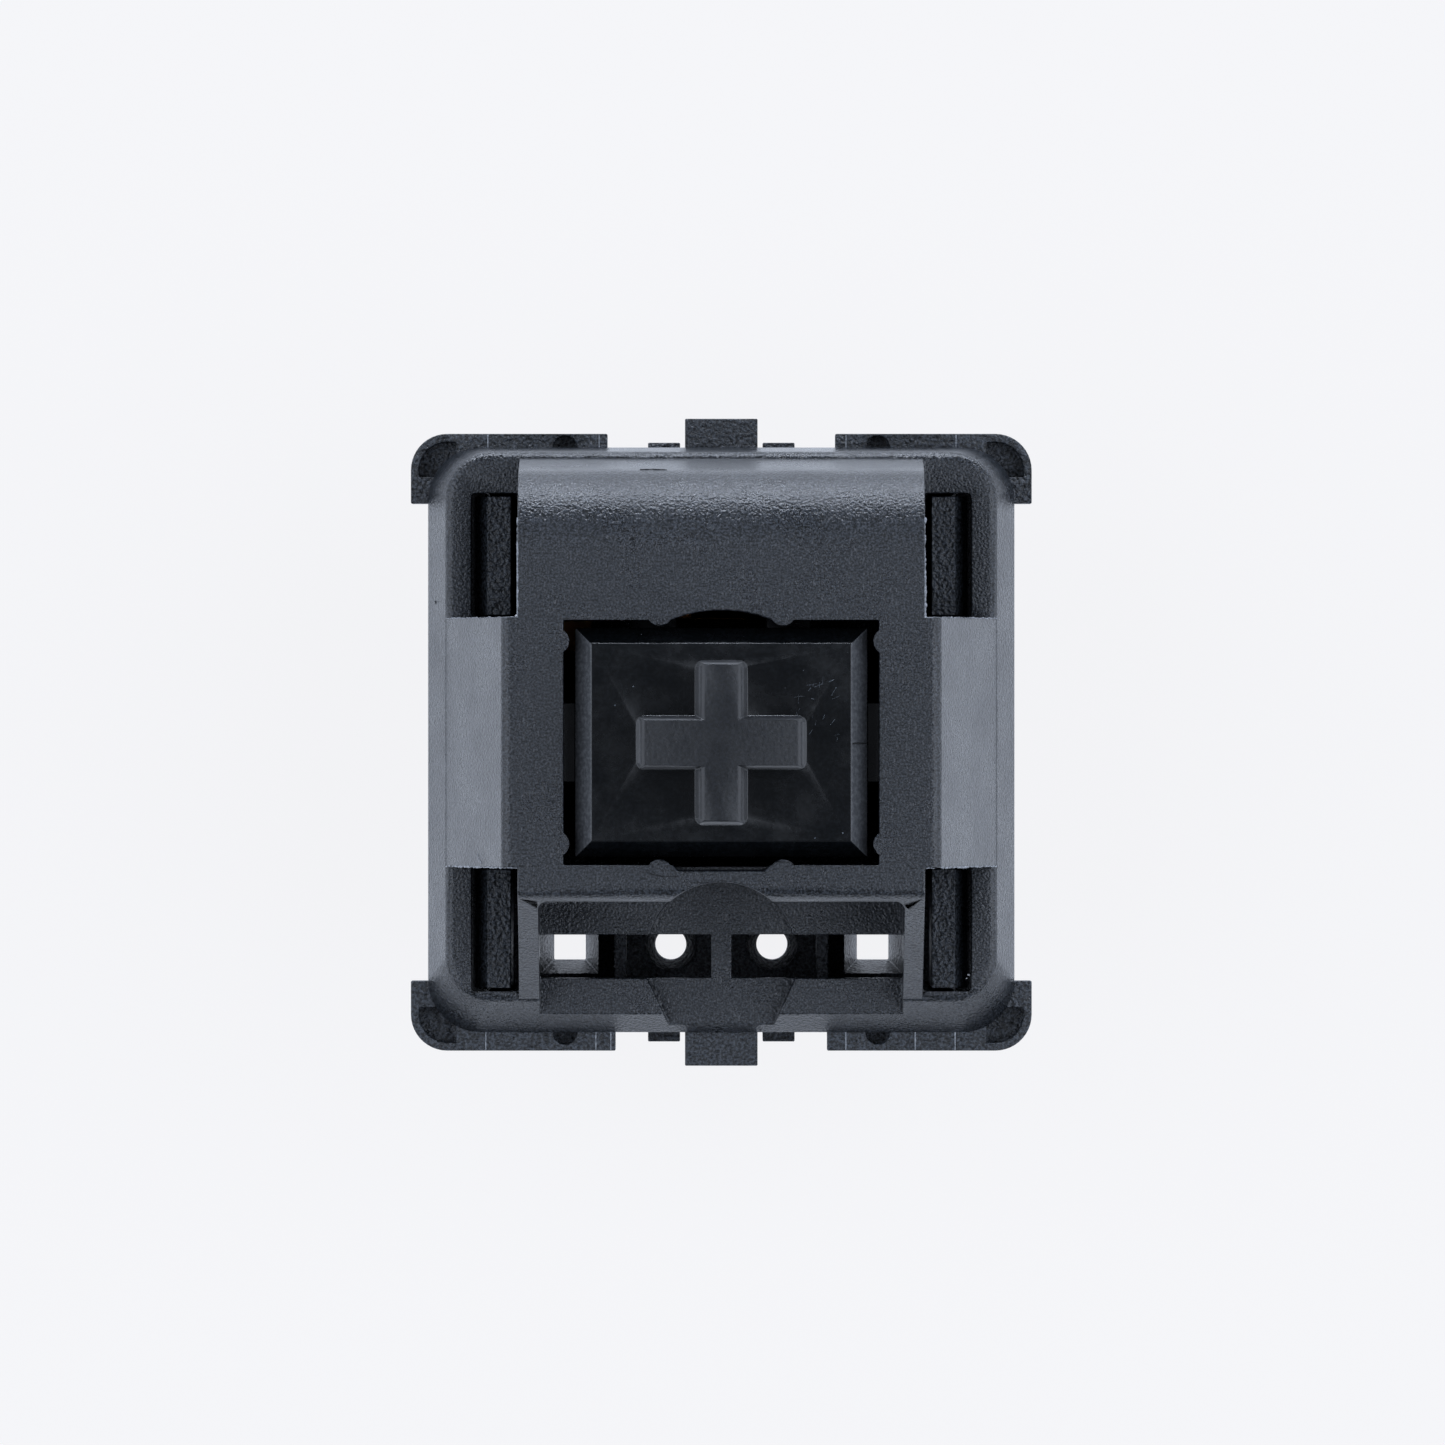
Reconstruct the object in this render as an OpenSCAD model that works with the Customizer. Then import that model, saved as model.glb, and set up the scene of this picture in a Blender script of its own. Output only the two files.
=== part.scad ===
// Keyboard switch with a cross-shaped keycap stem: two snap-fit housings, a
// sprung stem and a leaf contact. Millimetres, +Z up through the stem.
// The origin is on the stem's axis, where the lower housing meets the board.
// +Y is the contact side and -Y is the lamp side.

/* [Lower housing] */
// Width of the square body below the plate
body_w = 13.95; // [13.8:0.05:14]
// Radius of the body's upright corners
body_corner_r = 0.7; // [0.4:0.1:1]
// Thickness of the body's walls
body_wall = 0.95; // [0.8:0.05:1]
// Thickness of the floor
floor_t = 0.9; // [0.7:0.05:1]
// How far the body narrows towards the board, on each side
body_lead = 0.55; // [0.2:0.05:0.8]
// Height over which the body narrows
body_lead_h = 1.1; // [0.6:0.1:1.6]

/* [Plate flange] */
// Height of the plate's upper face above the board
plate_z = 5; // [4.9:0.05:5.1]
// Thickness of the plate that the clips hold
plate_t = 1.5; // [1.4:0.05:1.6]
// Width of the flange across X
flange_w = 15.4; // [15.2:0.1:15.8]
// Depth of the flange across Y
flange_d = 15.3; // [15.2:0.1:15.8]
// Thickness of the flange
flange_t = 1; // [0.9:0.05:1.1]
// Radius of the flange's outer corners
flange_corner_r = 0.9; // [0.6:0.1:1.2]
// Gap in the flange on the contact side
flange_gap_north = 5.65; // [5.2:0.05:6]
// Gap in the flange on the lamp side
flange_gap_south = 5.25; // [5.2:0.05:6]
// Length of each corner's leg along the side walls
flange_leg = 1.73; // [1.4:0.05:2.2]
// Width of the raised rim round each corner pocket
rim_w = 0.2; // [0.1:0.05:0.3]
// Depth of the corner pockets and of the scallops
pocket_depth = 0.45; // [0.3:0.05:0.6]
// Radius of the scallops in the flange strips
scallop_r = 0.3; // [0.2:0.02:0.36]
// Distance of the scallops from the middle
scallop_x = 3.88; // [3.6:0.02:4.2]

/* [Plate clips] */
// Width of the springy clip arm
clip_w = 3.66; // [3.4:0.02:3.9]
// Width of the slits that free the arm
clip_slit = 0.3; // [0.2:0.05:0.4]
// Width of each catch under the plate
catch_w = 0.8; // [0.6:0.05:0.85]
// How far the catches stand out of the body
catch_reach = 0.5; // [0.3:0.05:0.6]
// Height of the catches' sloping face
catch_h = 1.75; // [1.2:0.05:2]
// Width of the release tab
tab_w = 1.8; // [1.4:0.05:1.8]
// How far the release tab stands out of the body
tab_reach = 1.05; // [0.8:0.05:1.2]

/* [Upper housing] */
// Width of the upper housing at its base
case_w = 14.54; // [14.4:0.02:14.7]
// Depth of the upper housing at its base
case_d = 14.5; // [14.4:0.02:14.7]
// How far the base stands off the axis towards the contact side
case_shift = 0.06; // [0:0.02:0.1]
// Radius of the base's corners
case_corner_r = 1.3; // [1:0.05:1.6]
// Height of the upper housing above the flange
case_h = 5.6; // [5.5:0.05:5.7]
// Height of the flared skirt
skirt_h = 1.4; // [1.2:0.05:1.5]
// Radius of the skirt's upper edge
skirt_edge_r = 0.23; // [0.15:0.01:0.3]
// How far the skirt leans in on the two sides
skirt_in_side = 0.42; // [0.3:0.02:0.6]
// How far the skirt leans in on the contact side
skirt_in_north = 0.12; // [0.05:0.01:0.2]
// How far the wall under the shoulder stands back from the base
wall_back = 0.3; // [0.26:0.01:0.34]
// Width of the flat top
top_face_w = 10.24; // [10:0.02:10.4]
// Width of the rounded edge along each side of the top
top_edge = 0.3; // [0.15:0.05:0.4]
// Distance from the axis to the flat top's edge on the lamp side
top_south = 3.72; // [3.6:0.02:3.9]
// Radius of that edge
top_south_r = 0.31; // [0.2:0.01:0.4]
// Radius of the shoulder over the contacts
shoulder_r = 2; // [1.6:0.1:2.3]
// How far the wall under the shoulder leans in
shoulder_lean = 0.28; // [0.1:0.02:0.4]
// Thickness of the roof
roof_t = 1; // [0.9:0.05:1.05]
// Thickness of the side walls and of the shoulder's wall
case_wall = 0.95; // [0.8:0.05:1]
// Distance from the middle to the corner recesses, across X
recess_x = 4.98; // [4.9:0.02:5.1]
// Distance from the middle to the corner recesses, across Y
recess_y = 3.06; // [3:0.02:3.2]

/* [Stem opening] */
// Gap between the stem and the opening on the two sides
opening_gap_side = 0.29; // [0.2:0.01:0.34]
// Gap between the stem and the opening on the other two edges
opening_gap_end = 0.21; // [0.15:0.01:0.3]
// How far the guide nubs reach into the opening
nub_reach = 0.14; // [0.06:0.01:0.15]
// Radius of the guide nubs
nub_r = 0.32; // [0.22:0.01:0.4]
// Distance of the end nubs from the middle
nub_x = 1.51; // [1.4:0.01:1.7]
// Width of the bulge on the contact side
bulge_w = 2.5; // [2:0.05:2.5]
// Reach of the bulge on the contact side
bulge_reach = 0.24; // [0.1:0.01:0.3]
// Reach of the notch on the lamp side
notch_reach = 0.14; // [0.05:0.01:0.15]

/* [Lamp window] */
// Width of the lamp pocket
lamp_pocket_w = 8.98; // [8.6:0.02:9]
// Distance from the axis to the pocket's inner wall
lamp_pocket_y = 3.89; // [3.8:0.01:3.95]
// Height of the pocket's floor above the flange
lamp_pocket_floor = 0.8; // [0.7:0.05:0.9]
// Radius of the round lamp seat
lamp_seat_r = 1.84; // [1.75:0.01:1.84]
// Height of the lamp seat's floor above the flange
lamp_seat_floor = 0.35; // [0.3:0.05:0.5]
// Width of the slot across Y
lamp_slot_d = 1.08; // [0.9:0.02:1.2]
// Distance from the axis to the middle of the slot
lamp_slot_y = 5.3; // [5.2:0.02:5.36]
// Width of the bar that bridges the slot
lamp_bar_w = 0.5; // [0.3:0.05:0.7]

/* [Corner latches] */
// Width of the latch slots across X
latch_slot_w = 1.2; // [1.15:0.01:1.24]
// Length of the latch slots along Y
latch_slot_l = 3.1; // [2.8:0.05:3.15]
// Thickness of the latch arms
latch_t = 0.58; // [0.5:0.02:0.6]
// Gap between a latch arm and the slot's inner edge
latch_gap = 0.22; // [0.15:0.01:0.26]
// How far each barb stands out of its arm
latch_barb = 0.31; // [0.2:0.01:0.32]
// Width of the ledge under each barb
latch_hold = 0.24; // [0.15:0.01:0.25]
// Height of the ledge that the barb holds down
latch_ledge = 0.4; // [0.3:0.05:0.5]

/* [Stem] */
// Width of the stem's shoulder block
stem_w = 7.14; // [7:0.02:7.2]
// Depth of the stem's shoulder block
stem_d = 5.58; // [5.5:0.02:5.62]
// Height of the shoulder block
stem_h = 3.7; // [3.4:0.1:3.9]
// Width of the bevel round the shoulder
stem_bevel = 0.38; // [0.2:0.02:0.5]
// Height of the bevel round the shoulder
stem_bevel_h = 0.45; // [0.2:0.05:0.6]
// How far the stem travels
travel = 4; // [3.4:0.1:4]
// Width of the stem's side wings
wing_w = 1.96; // [1.6:0.04:2]
// Reach of the wings from the axis
wing_x = 4.55; // [4.4:0.05:4.6]
// Radius of the centre pole
pole_r = 1; // [0.8:0.05:1]

/* [Keycap cross] */
// Height of the cross above the shoulder
cross_h = 3.6; // [3.5:0.05:3.7]
// Length of the bar along X
cross_x = 4.12; // [4:0.02:4.2]
// Thickness of the bar along X
cross_x_t = 1.3; // [1.25:0.01:1.35]
// Length of the bar along Y
cross_y = 4; // [3.9:0.02:4.1]
// Thickness of the bar along Y
cross_y_t = 1.24; // [1.1:0.01:1.3]
// Bevel on the edges that face X
cross_bevel_x = 0.22; // [0.1:0.01:0.25]
// Bevel on the edges that face Y
cross_bevel_y = 0.1; // [0.05:0.01:0.2]
// Radius of the upright corners at the cross's ends
cross_corner_r = 0.18; // [0.1:0.01:0.25]

/* [Stem legs] */
// Width of each leg
leg_w = 1.1; // [0.9:0.05:1.2]
// Distance from the middle to the middle of each leg
leg_x = 1.65; // [1.6:0.01:1.75]
// Distance from the axis to the face that holds the leaf open
leg_y = 4.3; // [4.25:0.01:4.35]
// How far the ramp draws the leg's face back
ramp_in = 0.52; // [0.45:0.01:0.55]
// Height of the ramp
ramp_h = 2; // [1.6:0.1:2.2]

/* [Contacts] */
// Thickness of the two terminals' sheet
sheet_t = 0.3; // [0.25:0.01:0.35]
// Width of the terminal pins
pin_w = 0.9; // [0.7:0.05:1]
// Length of the pins below the board's upper face
pin_l = 3.3; // [3:0.1:3.5]
// Thickness of the contact leaf
leaf_t = 0.1; // [0.08:0.01:0.14]
// Height of the leaf's band
leaf_band_h = 2; // [1.6:0.1:2.2]
// Gap between the contact points while the stem is up
contact_gap = 0.3; // [0.25:0.01:0.3]
// Height of each contact point's ridge
point_h = 0.12; // [0.08:0.01:0.14]
// Length of each contact point
point_l = 0.8; // [0.6:0.05:1]

/* [Return spring] */
// Thickness of the wire
wire_d = 0.24; // [0.2:0.01:0.28]
// Radius of the coils at the middle of the wire
coil_r = 1.95; // [1.9:0.01:2]
// Number of turns, with the two closed ends
coil_turns = 12; // [8:1:13]

/* [Board side] */
// Grid of the board's holes
board_grid = 2.54; // [2.54:0.01:2.54]
// Radius of the centre post
post_r = 1.95; // [1.9:0.01:2]
// Length of the centre post and of the two pegs
post_l = 3.3; // [3:0.1:3.5]
// Radius of the two locating pegs
peg_r = 0.83; // [0.75:0.01:0.88]
// Radius of the holes for the lamp's wires
lamp_hole_r = 0.39; // [0.35:0.01:0.45]
// Width of the square windows beside them
window_w = 0.78; // [0.6:0.02:0.9]

/* [Hidden] */
$fn = 48;
// Small overlap that joins pieces of one moulding
weld = 0.2;
// Longer than any cut or profile needs
far = 30;
// Gap between pieces that are pressed or laid together
fit = 0.03;
// Gap at a stop, and at a sliding fit
slide = 0.08;

body_x = body_w / 2;
inner = body_x - body_wall;
rim_z = plate_z + flange_t;
top_z = rim_z + case_h;
skirt_z = rim_z + skirt_h;
// Height where the skirt's flanks end and its upper edge starts to round off
flank_z = skirt_z - skirt_edge_r;
roof_z = top_z - roof_t;
flange_x = flange_w / 2;
flange_y = flange_d / 2;

case_north = case_d / 2 + case_shift;
case_south = case_d / 2 - case_shift;
south_slope = (case_south - top_south) / case_h;
skirt_side = case_w / 2 - skirt_in_side;
skirt_north = case_north - skirt_in_north;
wall_north = case_north - wall_back;
skirt_south = case_south - south_slope * (flank_z - rim_z);
top_x = top_face_w / 2;
shoulder_y = wall_north - shoulder_lean - shoulder_r;
skirt_corner_r = case_corner_r - skirt_in_north;

// How far the flange's sides stay back under the upper housing
side_back = 0.15;

// The opening follows the stem
open_x = stem_w / 2 + opening_gap_side;
open_y = stem_d / 2 + opening_gap_end;
chamber_south = open_y + 0.05;
chamber_side = recess_x - 0.55;
chamber_north = inner - 0.1;

// Latches: slot, arm and barb, from the middle outwards
slot_x = recess_x;
slot_out = slot_x + latch_slot_w;
arm_x = slot_x + latch_gap;
arm_out = arm_x + latch_t;
ledge_x = arm_out + latch_barb - latch_hold;
ledge_z = rim_z + latch_ledge;
latch_top = skirt_z - 0.25;
latch_reach = arm_out + latch_barb;
// Thickness of the lips that locate the upper housing
lip_t = 0.65;
arm_y = recess_y + slide;
arm_l = latch_slot_l - 2 * slide;

// Stem
block_z = top_z - stem_h;
spring_top = roof_z - 0.3;
spring_room_r = coil_r + wire_d / 2 + 0.23;
wing_top = roof_z - 0.05;
wing_z = floor_t + travel + 0.15;
post_floor = -post_l + 0.9;
pole_z = post_floor + travel + 0.05;
tube_r = coil_r - wire_d / 2 - 0.18;
tube_top = block_z - travel + 0.9;
guide_top = plate_z + 0.3;
guide_y = wing_w / 2 + slide + 0.9;

// Contacts: the fixed plate stands between the stem's legs
touch_z = rim_z + 0.5;
point_z = touch_z + 0.8;
plate_y = stem_d / 2 + 0.26;
plate_north = plate_y + sheet_t;
plate_x = 0.7;
// How far the fixed plate's upright is bent back, out of sight under the roof
plate_bend = 0.3;
upright_y = plate_y + plate_bend;
upright_north = upright_y + sheet_t;
run_top = block_z - travel - 0.3;
tongue_y = upright_north + 2 * point_h + contact_gap;
foot_y = leg_y + fit;
leg_z = touch_z - 1.2;
leg_root_z = block_z + 0.5;
leg_top = roof_z - 0.9;
leg_back = leg_y - 0.8;
band_y = leg_y + 0.7;
band_top = plate_z + 0.2;
band_z = band_top - leaf_band_h;
hinge_x = 4.1;
carrier_y = band_y + 0.4;
carrier_top = band_top - 0.3;
pad_y = carrier_y - 0.04 - leaf_t;
pad_end = 0.2;
pad_bend = 0.8;
foot_tip = 0.6;
tongue_tip = 0.55;
leaf_end = leg_x + leg_w / 2 + 0.2;
fixed_pin = [-1.5 * board_grid, board_grid];
plate_end = fixed_pin.x - pin_w / 2 - 0.1;
leaf_pin = [board_grid, 2 * board_grid];
pin_taper = 0.3;
foot_t = 0.3;
foot_z = floor_t + fit;
// How far the feet lap over the pin slots' gaps
foot_lap = 0.12;
// Posts and ribs that hold the terminals
post_wrap = 0.5;
rib_w = 0.35;

// Lamp side of the lower housing
lamp_y = -2 * board_grid;
lamp_x = board_grid / 2;
window_x = 1.5 * board_grid;
lamp_floor = floor_t + 0.7;
lamp_wall_y = open_y + 0.3;
lamp_side = 0.95;
peg_x = 2 * board_grid;
tip = 0.35;

// Copies a shape to both sides of the YZ plane
module both_x() {
    children();
    mirror([1, 0, 0]) children();
}

// Copies a shape to both sides of the XZ plane
module both_y() {
    children();
    mirror([0, 1, 0]) children();
}

// A plan outline between two heights
module slab(from, to) {
    translate([0, 0, from]) linear_extrude(height = to - from) children();
}

// An outline in the YZ plane, run along X and centred on x
module run_x(length, x = 0) {
    translate([x, 0, 0]) rotate([90, 0, 90]) linear_extrude(height = length, center = true) children();
}

// An outline in the XZ plane, run along Y and centred on y
module run_y(length, y = 0) {
    translate([0, y, 0]) rotate([90, 0, 0]) linear_extrude(height = length, center = true) children();
}

// A box between two corners
module box(low, high) {
    translate(low) cube(high - low);
}

// A rectangle with round corners
module round_rect(w, d, r) {
    square([w - 2 * r, d], center = true);
    square([w, d - 2 * r], center = true);
    for (x = [-1, 1], y = [-1, 1]) translate([x * (w / 2 - r), y * (d / 2 - r)]) circle(r);
}

// A trapezoid outline, symmetric about the vertical axis
module taper(half_low, half_high, low, high) {
    polygon([[-half_low, low], [half_low, low], [half_high, high], [-half_high, high]]);
}

// A block whose top edges are bevelled, with mitred corners
module bevelled_block(w, d, low, high, bevel_x, bevel_y, bevel_h) {
    intersection() {
        run_y(d) bevelled_outline(w / 2, low, high, bevel_x, bevel_h);
        run_x(w) bevelled_outline(d / 2, low, high, bevel_y, bevel_h);
    }
}

module bevelled_outline(half, low, high, bevel, bevel_h) {
    edge = high - bevel_h;
    polygon([[-half, low], [half, low], [half, edge], [half - bevel, high], [bevel - half, high], [-half, edge]]);
}

// A funnel with flat sides, wider at the top
module square_funnel(w_low, w_high, low, high) {
    intersection() {
        run_y(w_high) taper(w_low / 2, w_high / 2, low, high);
        run_x(w_high) taper(w_low / 2, w_high / 2, low, high);
    }
}

// A round post that points down, with a bevelled tip
module down_post(r, length) {
    translate([0, 0, tip - length]) cylinder(r = r, h = length - tip + weld);
    translate([0, 0, -length]) cylinder(r1 = r - tip, r2 = r, h = tip);
}

// Lower housing

module body_shell() {
    intersection() {
        slab(0, rim_z) round_rect(body_w, body_w, body_corner_r);
        run_y(far) body_outline();
        run_x(far) body_outline();
    }
}

module body_outline() {
    low = body_x - body_lead;
    polygon([[-low, 0], [low, 0], [body_x, body_lead_h], [body_x, rim_z], [-body_x, rim_z], [-body_x, body_lead_h]]);
}

// The plate rests under the four corners of the flange
module flange() {
    difference() {
        slab(plate_z, rim_z) round_rect(flange_w, flange_d, flange_corner_r);
        flange_side_gap();
        box([-flange_gap_north / 2, body_x, plate_z - weld], [flange_gap_north / 2, far, rim_z + weld]);
        box([-flange_gap_south / 2, -far, plate_z - weld], [flange_gap_south / 2, -body_x, rim_z + weld]);
        flange_corner_pockets();
        flange_scallops();
    }
}

// Between the corners the flange stays under the upper housing
module flange_side_gap() {
    leg = flange_y - flange_leg;
    both_x() box([case_w / 2 - side_back, -leg, plate_z - weld], [far, leg, rim_z + weld]);
}

module flange_corner_pockets() {
    corner = body_x - 2 * rim_w;
    intersection() {
        slab(rim_z - pocket_depth, rim_z + weld)
            round_rect(flange_w - 2 * rim_w, flange_d - 2 * rim_w, flange_corner_r - rim_w);
        both_x() both_y() box([corner, corner, plate_z], [far, far, rim_z + weld]);
    }
}

module flange_scallops() {
    for (y = [case_north, -case_south])
        both_x() translate([scallop_x, y, rim_z - pocket_depth]) cylinder(r = scallop_r, h = pocket_depth + weld);
}

// The room inside the body, open at the top, with the room that the contacts need
module body_room() {
    slab(floor_t, rim_z + weld) round_rect(2 * inner, 2 * inner, body_corner_r / 2);
    box([-hinge_x, plate_y - fit, floor_t], [hinge_x + pad_end + fit, carrier_y + sheet_t + fit, rim_z + weld]);
    both_x() both_y()
        box([arm_x - slide, inner - weld, floor_t], [arm_out + slide, arm_y + arm_l + slide, rim_z + weld]);
}

// Slits on both sides of each clip arm
module clip_slits() {
    both_x() both_y()
        box([clip_w / 2, inner - weld, floor_t], [clip_w / 2 + clip_slit, far, rim_z + weld]);
}

// Catches under the plate, and the tab that releases them
module clip() {
    catch_top = plate_z - plate_t - 0.05;
    both_x() run_x(catch_w, clip_w / 2 - catch_w / 2)
        polygon([[body_x - weld, catch_top - catch_h], [body_x, catch_top - catch_h],
                 [body_x + catch_reach, catch_top - 0.25], [body_x + catch_reach, catch_top],
                 [body_x - weld, catch_top]]);
    box([-tab_w / 2, inner, plate_z + 0.05], [tab_w / 2, body_x + tab_reach, rim_z - 0.05]);
}

// The arms stop just under the upper housing
module clip_head_room() {
    both_y() box([-clip_w / 2, inner - weld, rim_z - 0.05], [clip_w / 2, far, rim_z + weld]);
}

module latch() {
    barb_z = ledge_z + 0.05;
    run_y(arm_l, arm_y + arm_l / 2)
        polygon([[arm_x, floor_t - weld], [arm_out, floor_t - weld], [arm_out, barb_z],
                 [latch_reach, barb_z], [latch_reach, barb_z + 0.1], [arm_out, latch_top], [arm_x, latch_top]]);
}

// Windows in the floor that free the barbs from the mould
module latch_windows() {
    start = arm_y + arm_l / 4;
    both_x() both_y() box([arm_out + 0.03, start, -weld], [latch_reach, start + arm_l / 2, floor_t + weld]);
}

// Guides for the stem's side wings
module wing_guides() {
    both_x() difference() {
        box([wing_x - 0.6, -guide_y, floor_t - weld], [inner + weld, guide_y, guide_top]);
        box([0, -wing_w / 2 - slide, floor_t], [wing_x + slide, wing_w / 2 + slide, guide_top + weld]);
    }
}

// The tube that the spring stands round and the pole runs in
module centre_tube() {
    cylinder(r = tube_r, h = tube_top);
    down_post(post_r, post_l);
}

module centre_bore() {
    translate([0, 0, post_floor]) cylinder(r = pole_r + slide, h = far);
}

// The lamp's room: a wall towards the stem, a thicker floor and two ribs
module lamp_room() {
    side = window_x + lamp_side;
    box([-side, -lamp_wall_y - 0.6, floor_t - weld], [side, -lamp_wall_y, plate_z + 0.6]);
    box([-side, -inner - weld, floor_t - weld], [side, -lamp_wall_y, lamp_floor]);
    both_x() box([lamp_x + 1.1, -inner - weld, floor_t - weld], [lamp_x + 1.4, -lamp_wall_y, plate_z - 0.8]);
}

module lamp_holes() {
    both_x() translate([lamp_x, lamp_y, 0]) {
        translate([0, 0, -weld]) cylinder(r = lamp_hole_r, h = lamp_floor + 2 * weld);
        translate([0, 0, lamp_floor - 0.5]) cylinder(r1 = lamp_hole_r, r2 = lamp_hole_r + 0.27, h = 0.51);
    }
    both_x() translate([window_x, lamp_y, 0]) {
        square_funnel(window_w, 1.46, 0, lamp_floor + 0.01);
        box([-window_w / 2, -window_w / 2, -weld], [window_w / 2, window_w / 2, weld]);
    }
}

// Grooved post that holds the fixed plate's end, and ribs behind the leaf's carrier
module contact_supports() {
    difference() {
        box([plate_end - post_wrap, plate_y - post_wrap, floor_t - weld],
            [plate_end + rib_w, plate_north + post_wrap, run_top + post_wrap]);
        box([plate_end - fit, plate_y - fit, floor_t], [far, plate_north + fit, far]);
    }
    for (x = [leaf_pin.x - pin_w / 2, leaf_pin.x + pin_w])
        box([x, carrier_y + sheet_t + fit, floor_t - weld], [x + rib_w, inner + weld, carrier_top - fit]);
}

// Slot in the floor for a terminal pin, with room for the foot on top of it
module pin_slot(place, plate_side) {
    half = [pin_w / 2 + fit, sheet_t / 2 + fit];
    box([place.x - half.x, place.y - half.y, -weld], [place.x + half.x, place.y + half.y, floor_t + weld]);
    box([place.x - half.x - foot_lap, place.y - half.y - foot_lap, floor_t],
        [place.x + half.x + foot_lap, plate_side + fit, foot_z + foot_t + fit]);
}

module bottom_housing() {
    color("#202226") difference() {
        union() {
            difference() {
                union() {
                    body_shell();
                    flange();
                }
                body_room();
                clip_slits();
                clip_head_room();
            }
            both_y() clip();
            both_x() both_y() latch();
            wing_guides();
            centre_tube();
            lamp_room();
            contact_supports();
            both_x() translate([peg_x, 0, 0]) down_post(peg_r, post_l);
        }
        centre_bore();
        lamp_holes();
        latch_windows();
        pin_slot(fixed_pin, plate_north);
        pin_slot(leaf_pin, carrier_y + sheet_t);
    }
}

// Upper housing

// The skirt flares out to the base, with round corners and a round upper edge
module skirt() {
    thin = 0.02;
    hull() {
        slab(rim_z, rim_z + thin) translate([0, case_shift]) round_rect(case_w, case_d, case_corner_r, $fn = 32);
        for (a = [0, 30, 60, 90]) {
            edge_z = skirt_z - skirt_edge_r * (1 - sin(a));
            edge_in = skirt_edge_r * (1 - cos(a));
            slab(edge_z - thin, edge_z) skirt_plan(edge_in);
        }
    }
}

// The skirt's outline where it starts to round off, drawn in by an amount
module skirt_plan(draw_in) {
    translate([0, (skirt_north - skirt_south) / 2])
        round_rect(2 * (skirt_side - draw_in), skirt_north + skirt_south - 2 * draw_in,
                   skirt_corner_r - draw_in, $fn = 32);
}

// Across X: leaning sides and a flat top with round edges
module side_outline() {
    low = flank_z - weld;
    arc = [for (a = [0:15:75]) [top_x + top_edge * cos(a), top_z - top_edge * (1 - sin(a))]];
    right = concat([[skirt_side - weld, low], [skirt_side, flank_z]], arc, [[top_x, top_z]]);
    left = [for (i = [len(right) - 1:-1:0]) [-right[i].x, right[i].y]];
    polygon(concat(right, left));
}

// Across Y: a large round shoulder over the contacts and a slope over the lamp
module end_outline() {
    low = flank_z - weld;
    north = [[weld - skirt_south, low], [wall_north, low], [wall_north, skirt_z],
             [shoulder_y + shoulder_r, top_z - shoulder_r], [shoulder_y, top_z - shoulder_r], [shoulder_y, top_z]];
    turn = atan(1 / south_slope);
    arc_y = top_south_r * tan(turn / 2) - top_south;
    arc = [for (i = [0:4]) let (a = turn * i / 4)
        [arc_y - top_south_r * sin(a), top_z - top_south_r * (1 - cos(a))]];
    polygon(concat(north, arc, [[-skirt_south, flank_z]]));
    translate([shoulder_y, top_z - shoulder_r]) circle(shoulder_r);
}

// The corners over the latches are cut down to the skirt
module case_plan() {
    square([2 * recess_x, far], center = true);
    square([far, 2 * recess_y], center = true);
}

module case_outside() {
    skirt();
    intersection() {
        run_y(far) side_outline();
        run_x(far) end_outline();
        slab(rim_z, top_z + weld) case_plan();
    }
}

// Room for the stem, its legs and the leaf
module case_chamber() {
    bend = case_wall + 0.25;
    run_x(2 * chamber_side)
        polygon([[-chamber_south, rim_z - weld], [chamber_north, rim_z - weld],
                 [chamber_north, roof_z - bend], [chamber_north - bend, roof_z], [-chamber_south, roof_z]]);
    run_y(2 * (recess_y - case_wall + 0.2))
        taper(inner, top_x + top_edge - case_wall + 0.35, rim_z - weld, roof_z);
}

// The opening's outline, with its guide nubs
module opening_plan() {
    difference() {
        union() {
            square([2 * open_x, 2 * open_y], center = true);
            opening_bulge();
            polygon([[-nub_x + nub_r, 0], [nub_x - nub_r, 0], [nub_x - nub_r, -open_y],
                     [nub_x - nub_r - notch_reach, -open_y - notch_reach],
                     [nub_r + notch_reach - nub_x, -open_y - notch_reach], [nub_r - nub_x, -open_y]]);
        }
        both_x() both_y() translate([nub_x, open_y + nub_r - nub_reach]) circle(nub_r);
        both_x() both_y() translate([open_x + nub_r - nub_reach, open_y - 0.52]) circle(nub_r);
    }
}

// A flat arc on the contact side
module opening_bulge() {
    arc_r = (pow(bulge_w / 2, 2) + pow(bulge_reach, 2)) / (2 * bulge_reach);
    intersection() {
        translate([0, open_y + bulge_reach - arc_r]) circle(arc_r);
        translate([-bulge_w / 2, 0]) square([bulge_w, 2 * open_y]);
    }
}

module lamp_cuts() {
    pocket_z = rim_z + lamp_pocket_floor;
    seat_z = rim_z + lamp_seat_floor;
    corner = 0.22;
    slab(pocket_z, far) translate([0, -lamp_pocket_y - far / 2]) round_rect(lamp_pocket_w, far, corner);
    slab(seat_z, far) {
        translate([0, -lamp_slot_y + 0.05]) circle(lamp_seat_r);
        polygon([[-lamp_seat_r, -lamp_slot_y - lamp_slot_d / 2], [lamp_seat_r, -lamp_slot_y - lamp_slot_d / 2],
                 [lamp_seat_r - 0.64, -case_south], [0.64 - lamp_seat_r, -case_south]]);
    }
    difference() {
        slab(rim_z - weld, pocket_z + weld) translate([0, -lamp_slot_y]) square([lamp_pocket_w, lamp_slot_d], center = true);
        slab(rim_z - far, seat_z) translate([0, -lamp_slot_y]) square([lamp_bar_w, far], center = true);
    }
}

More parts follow.
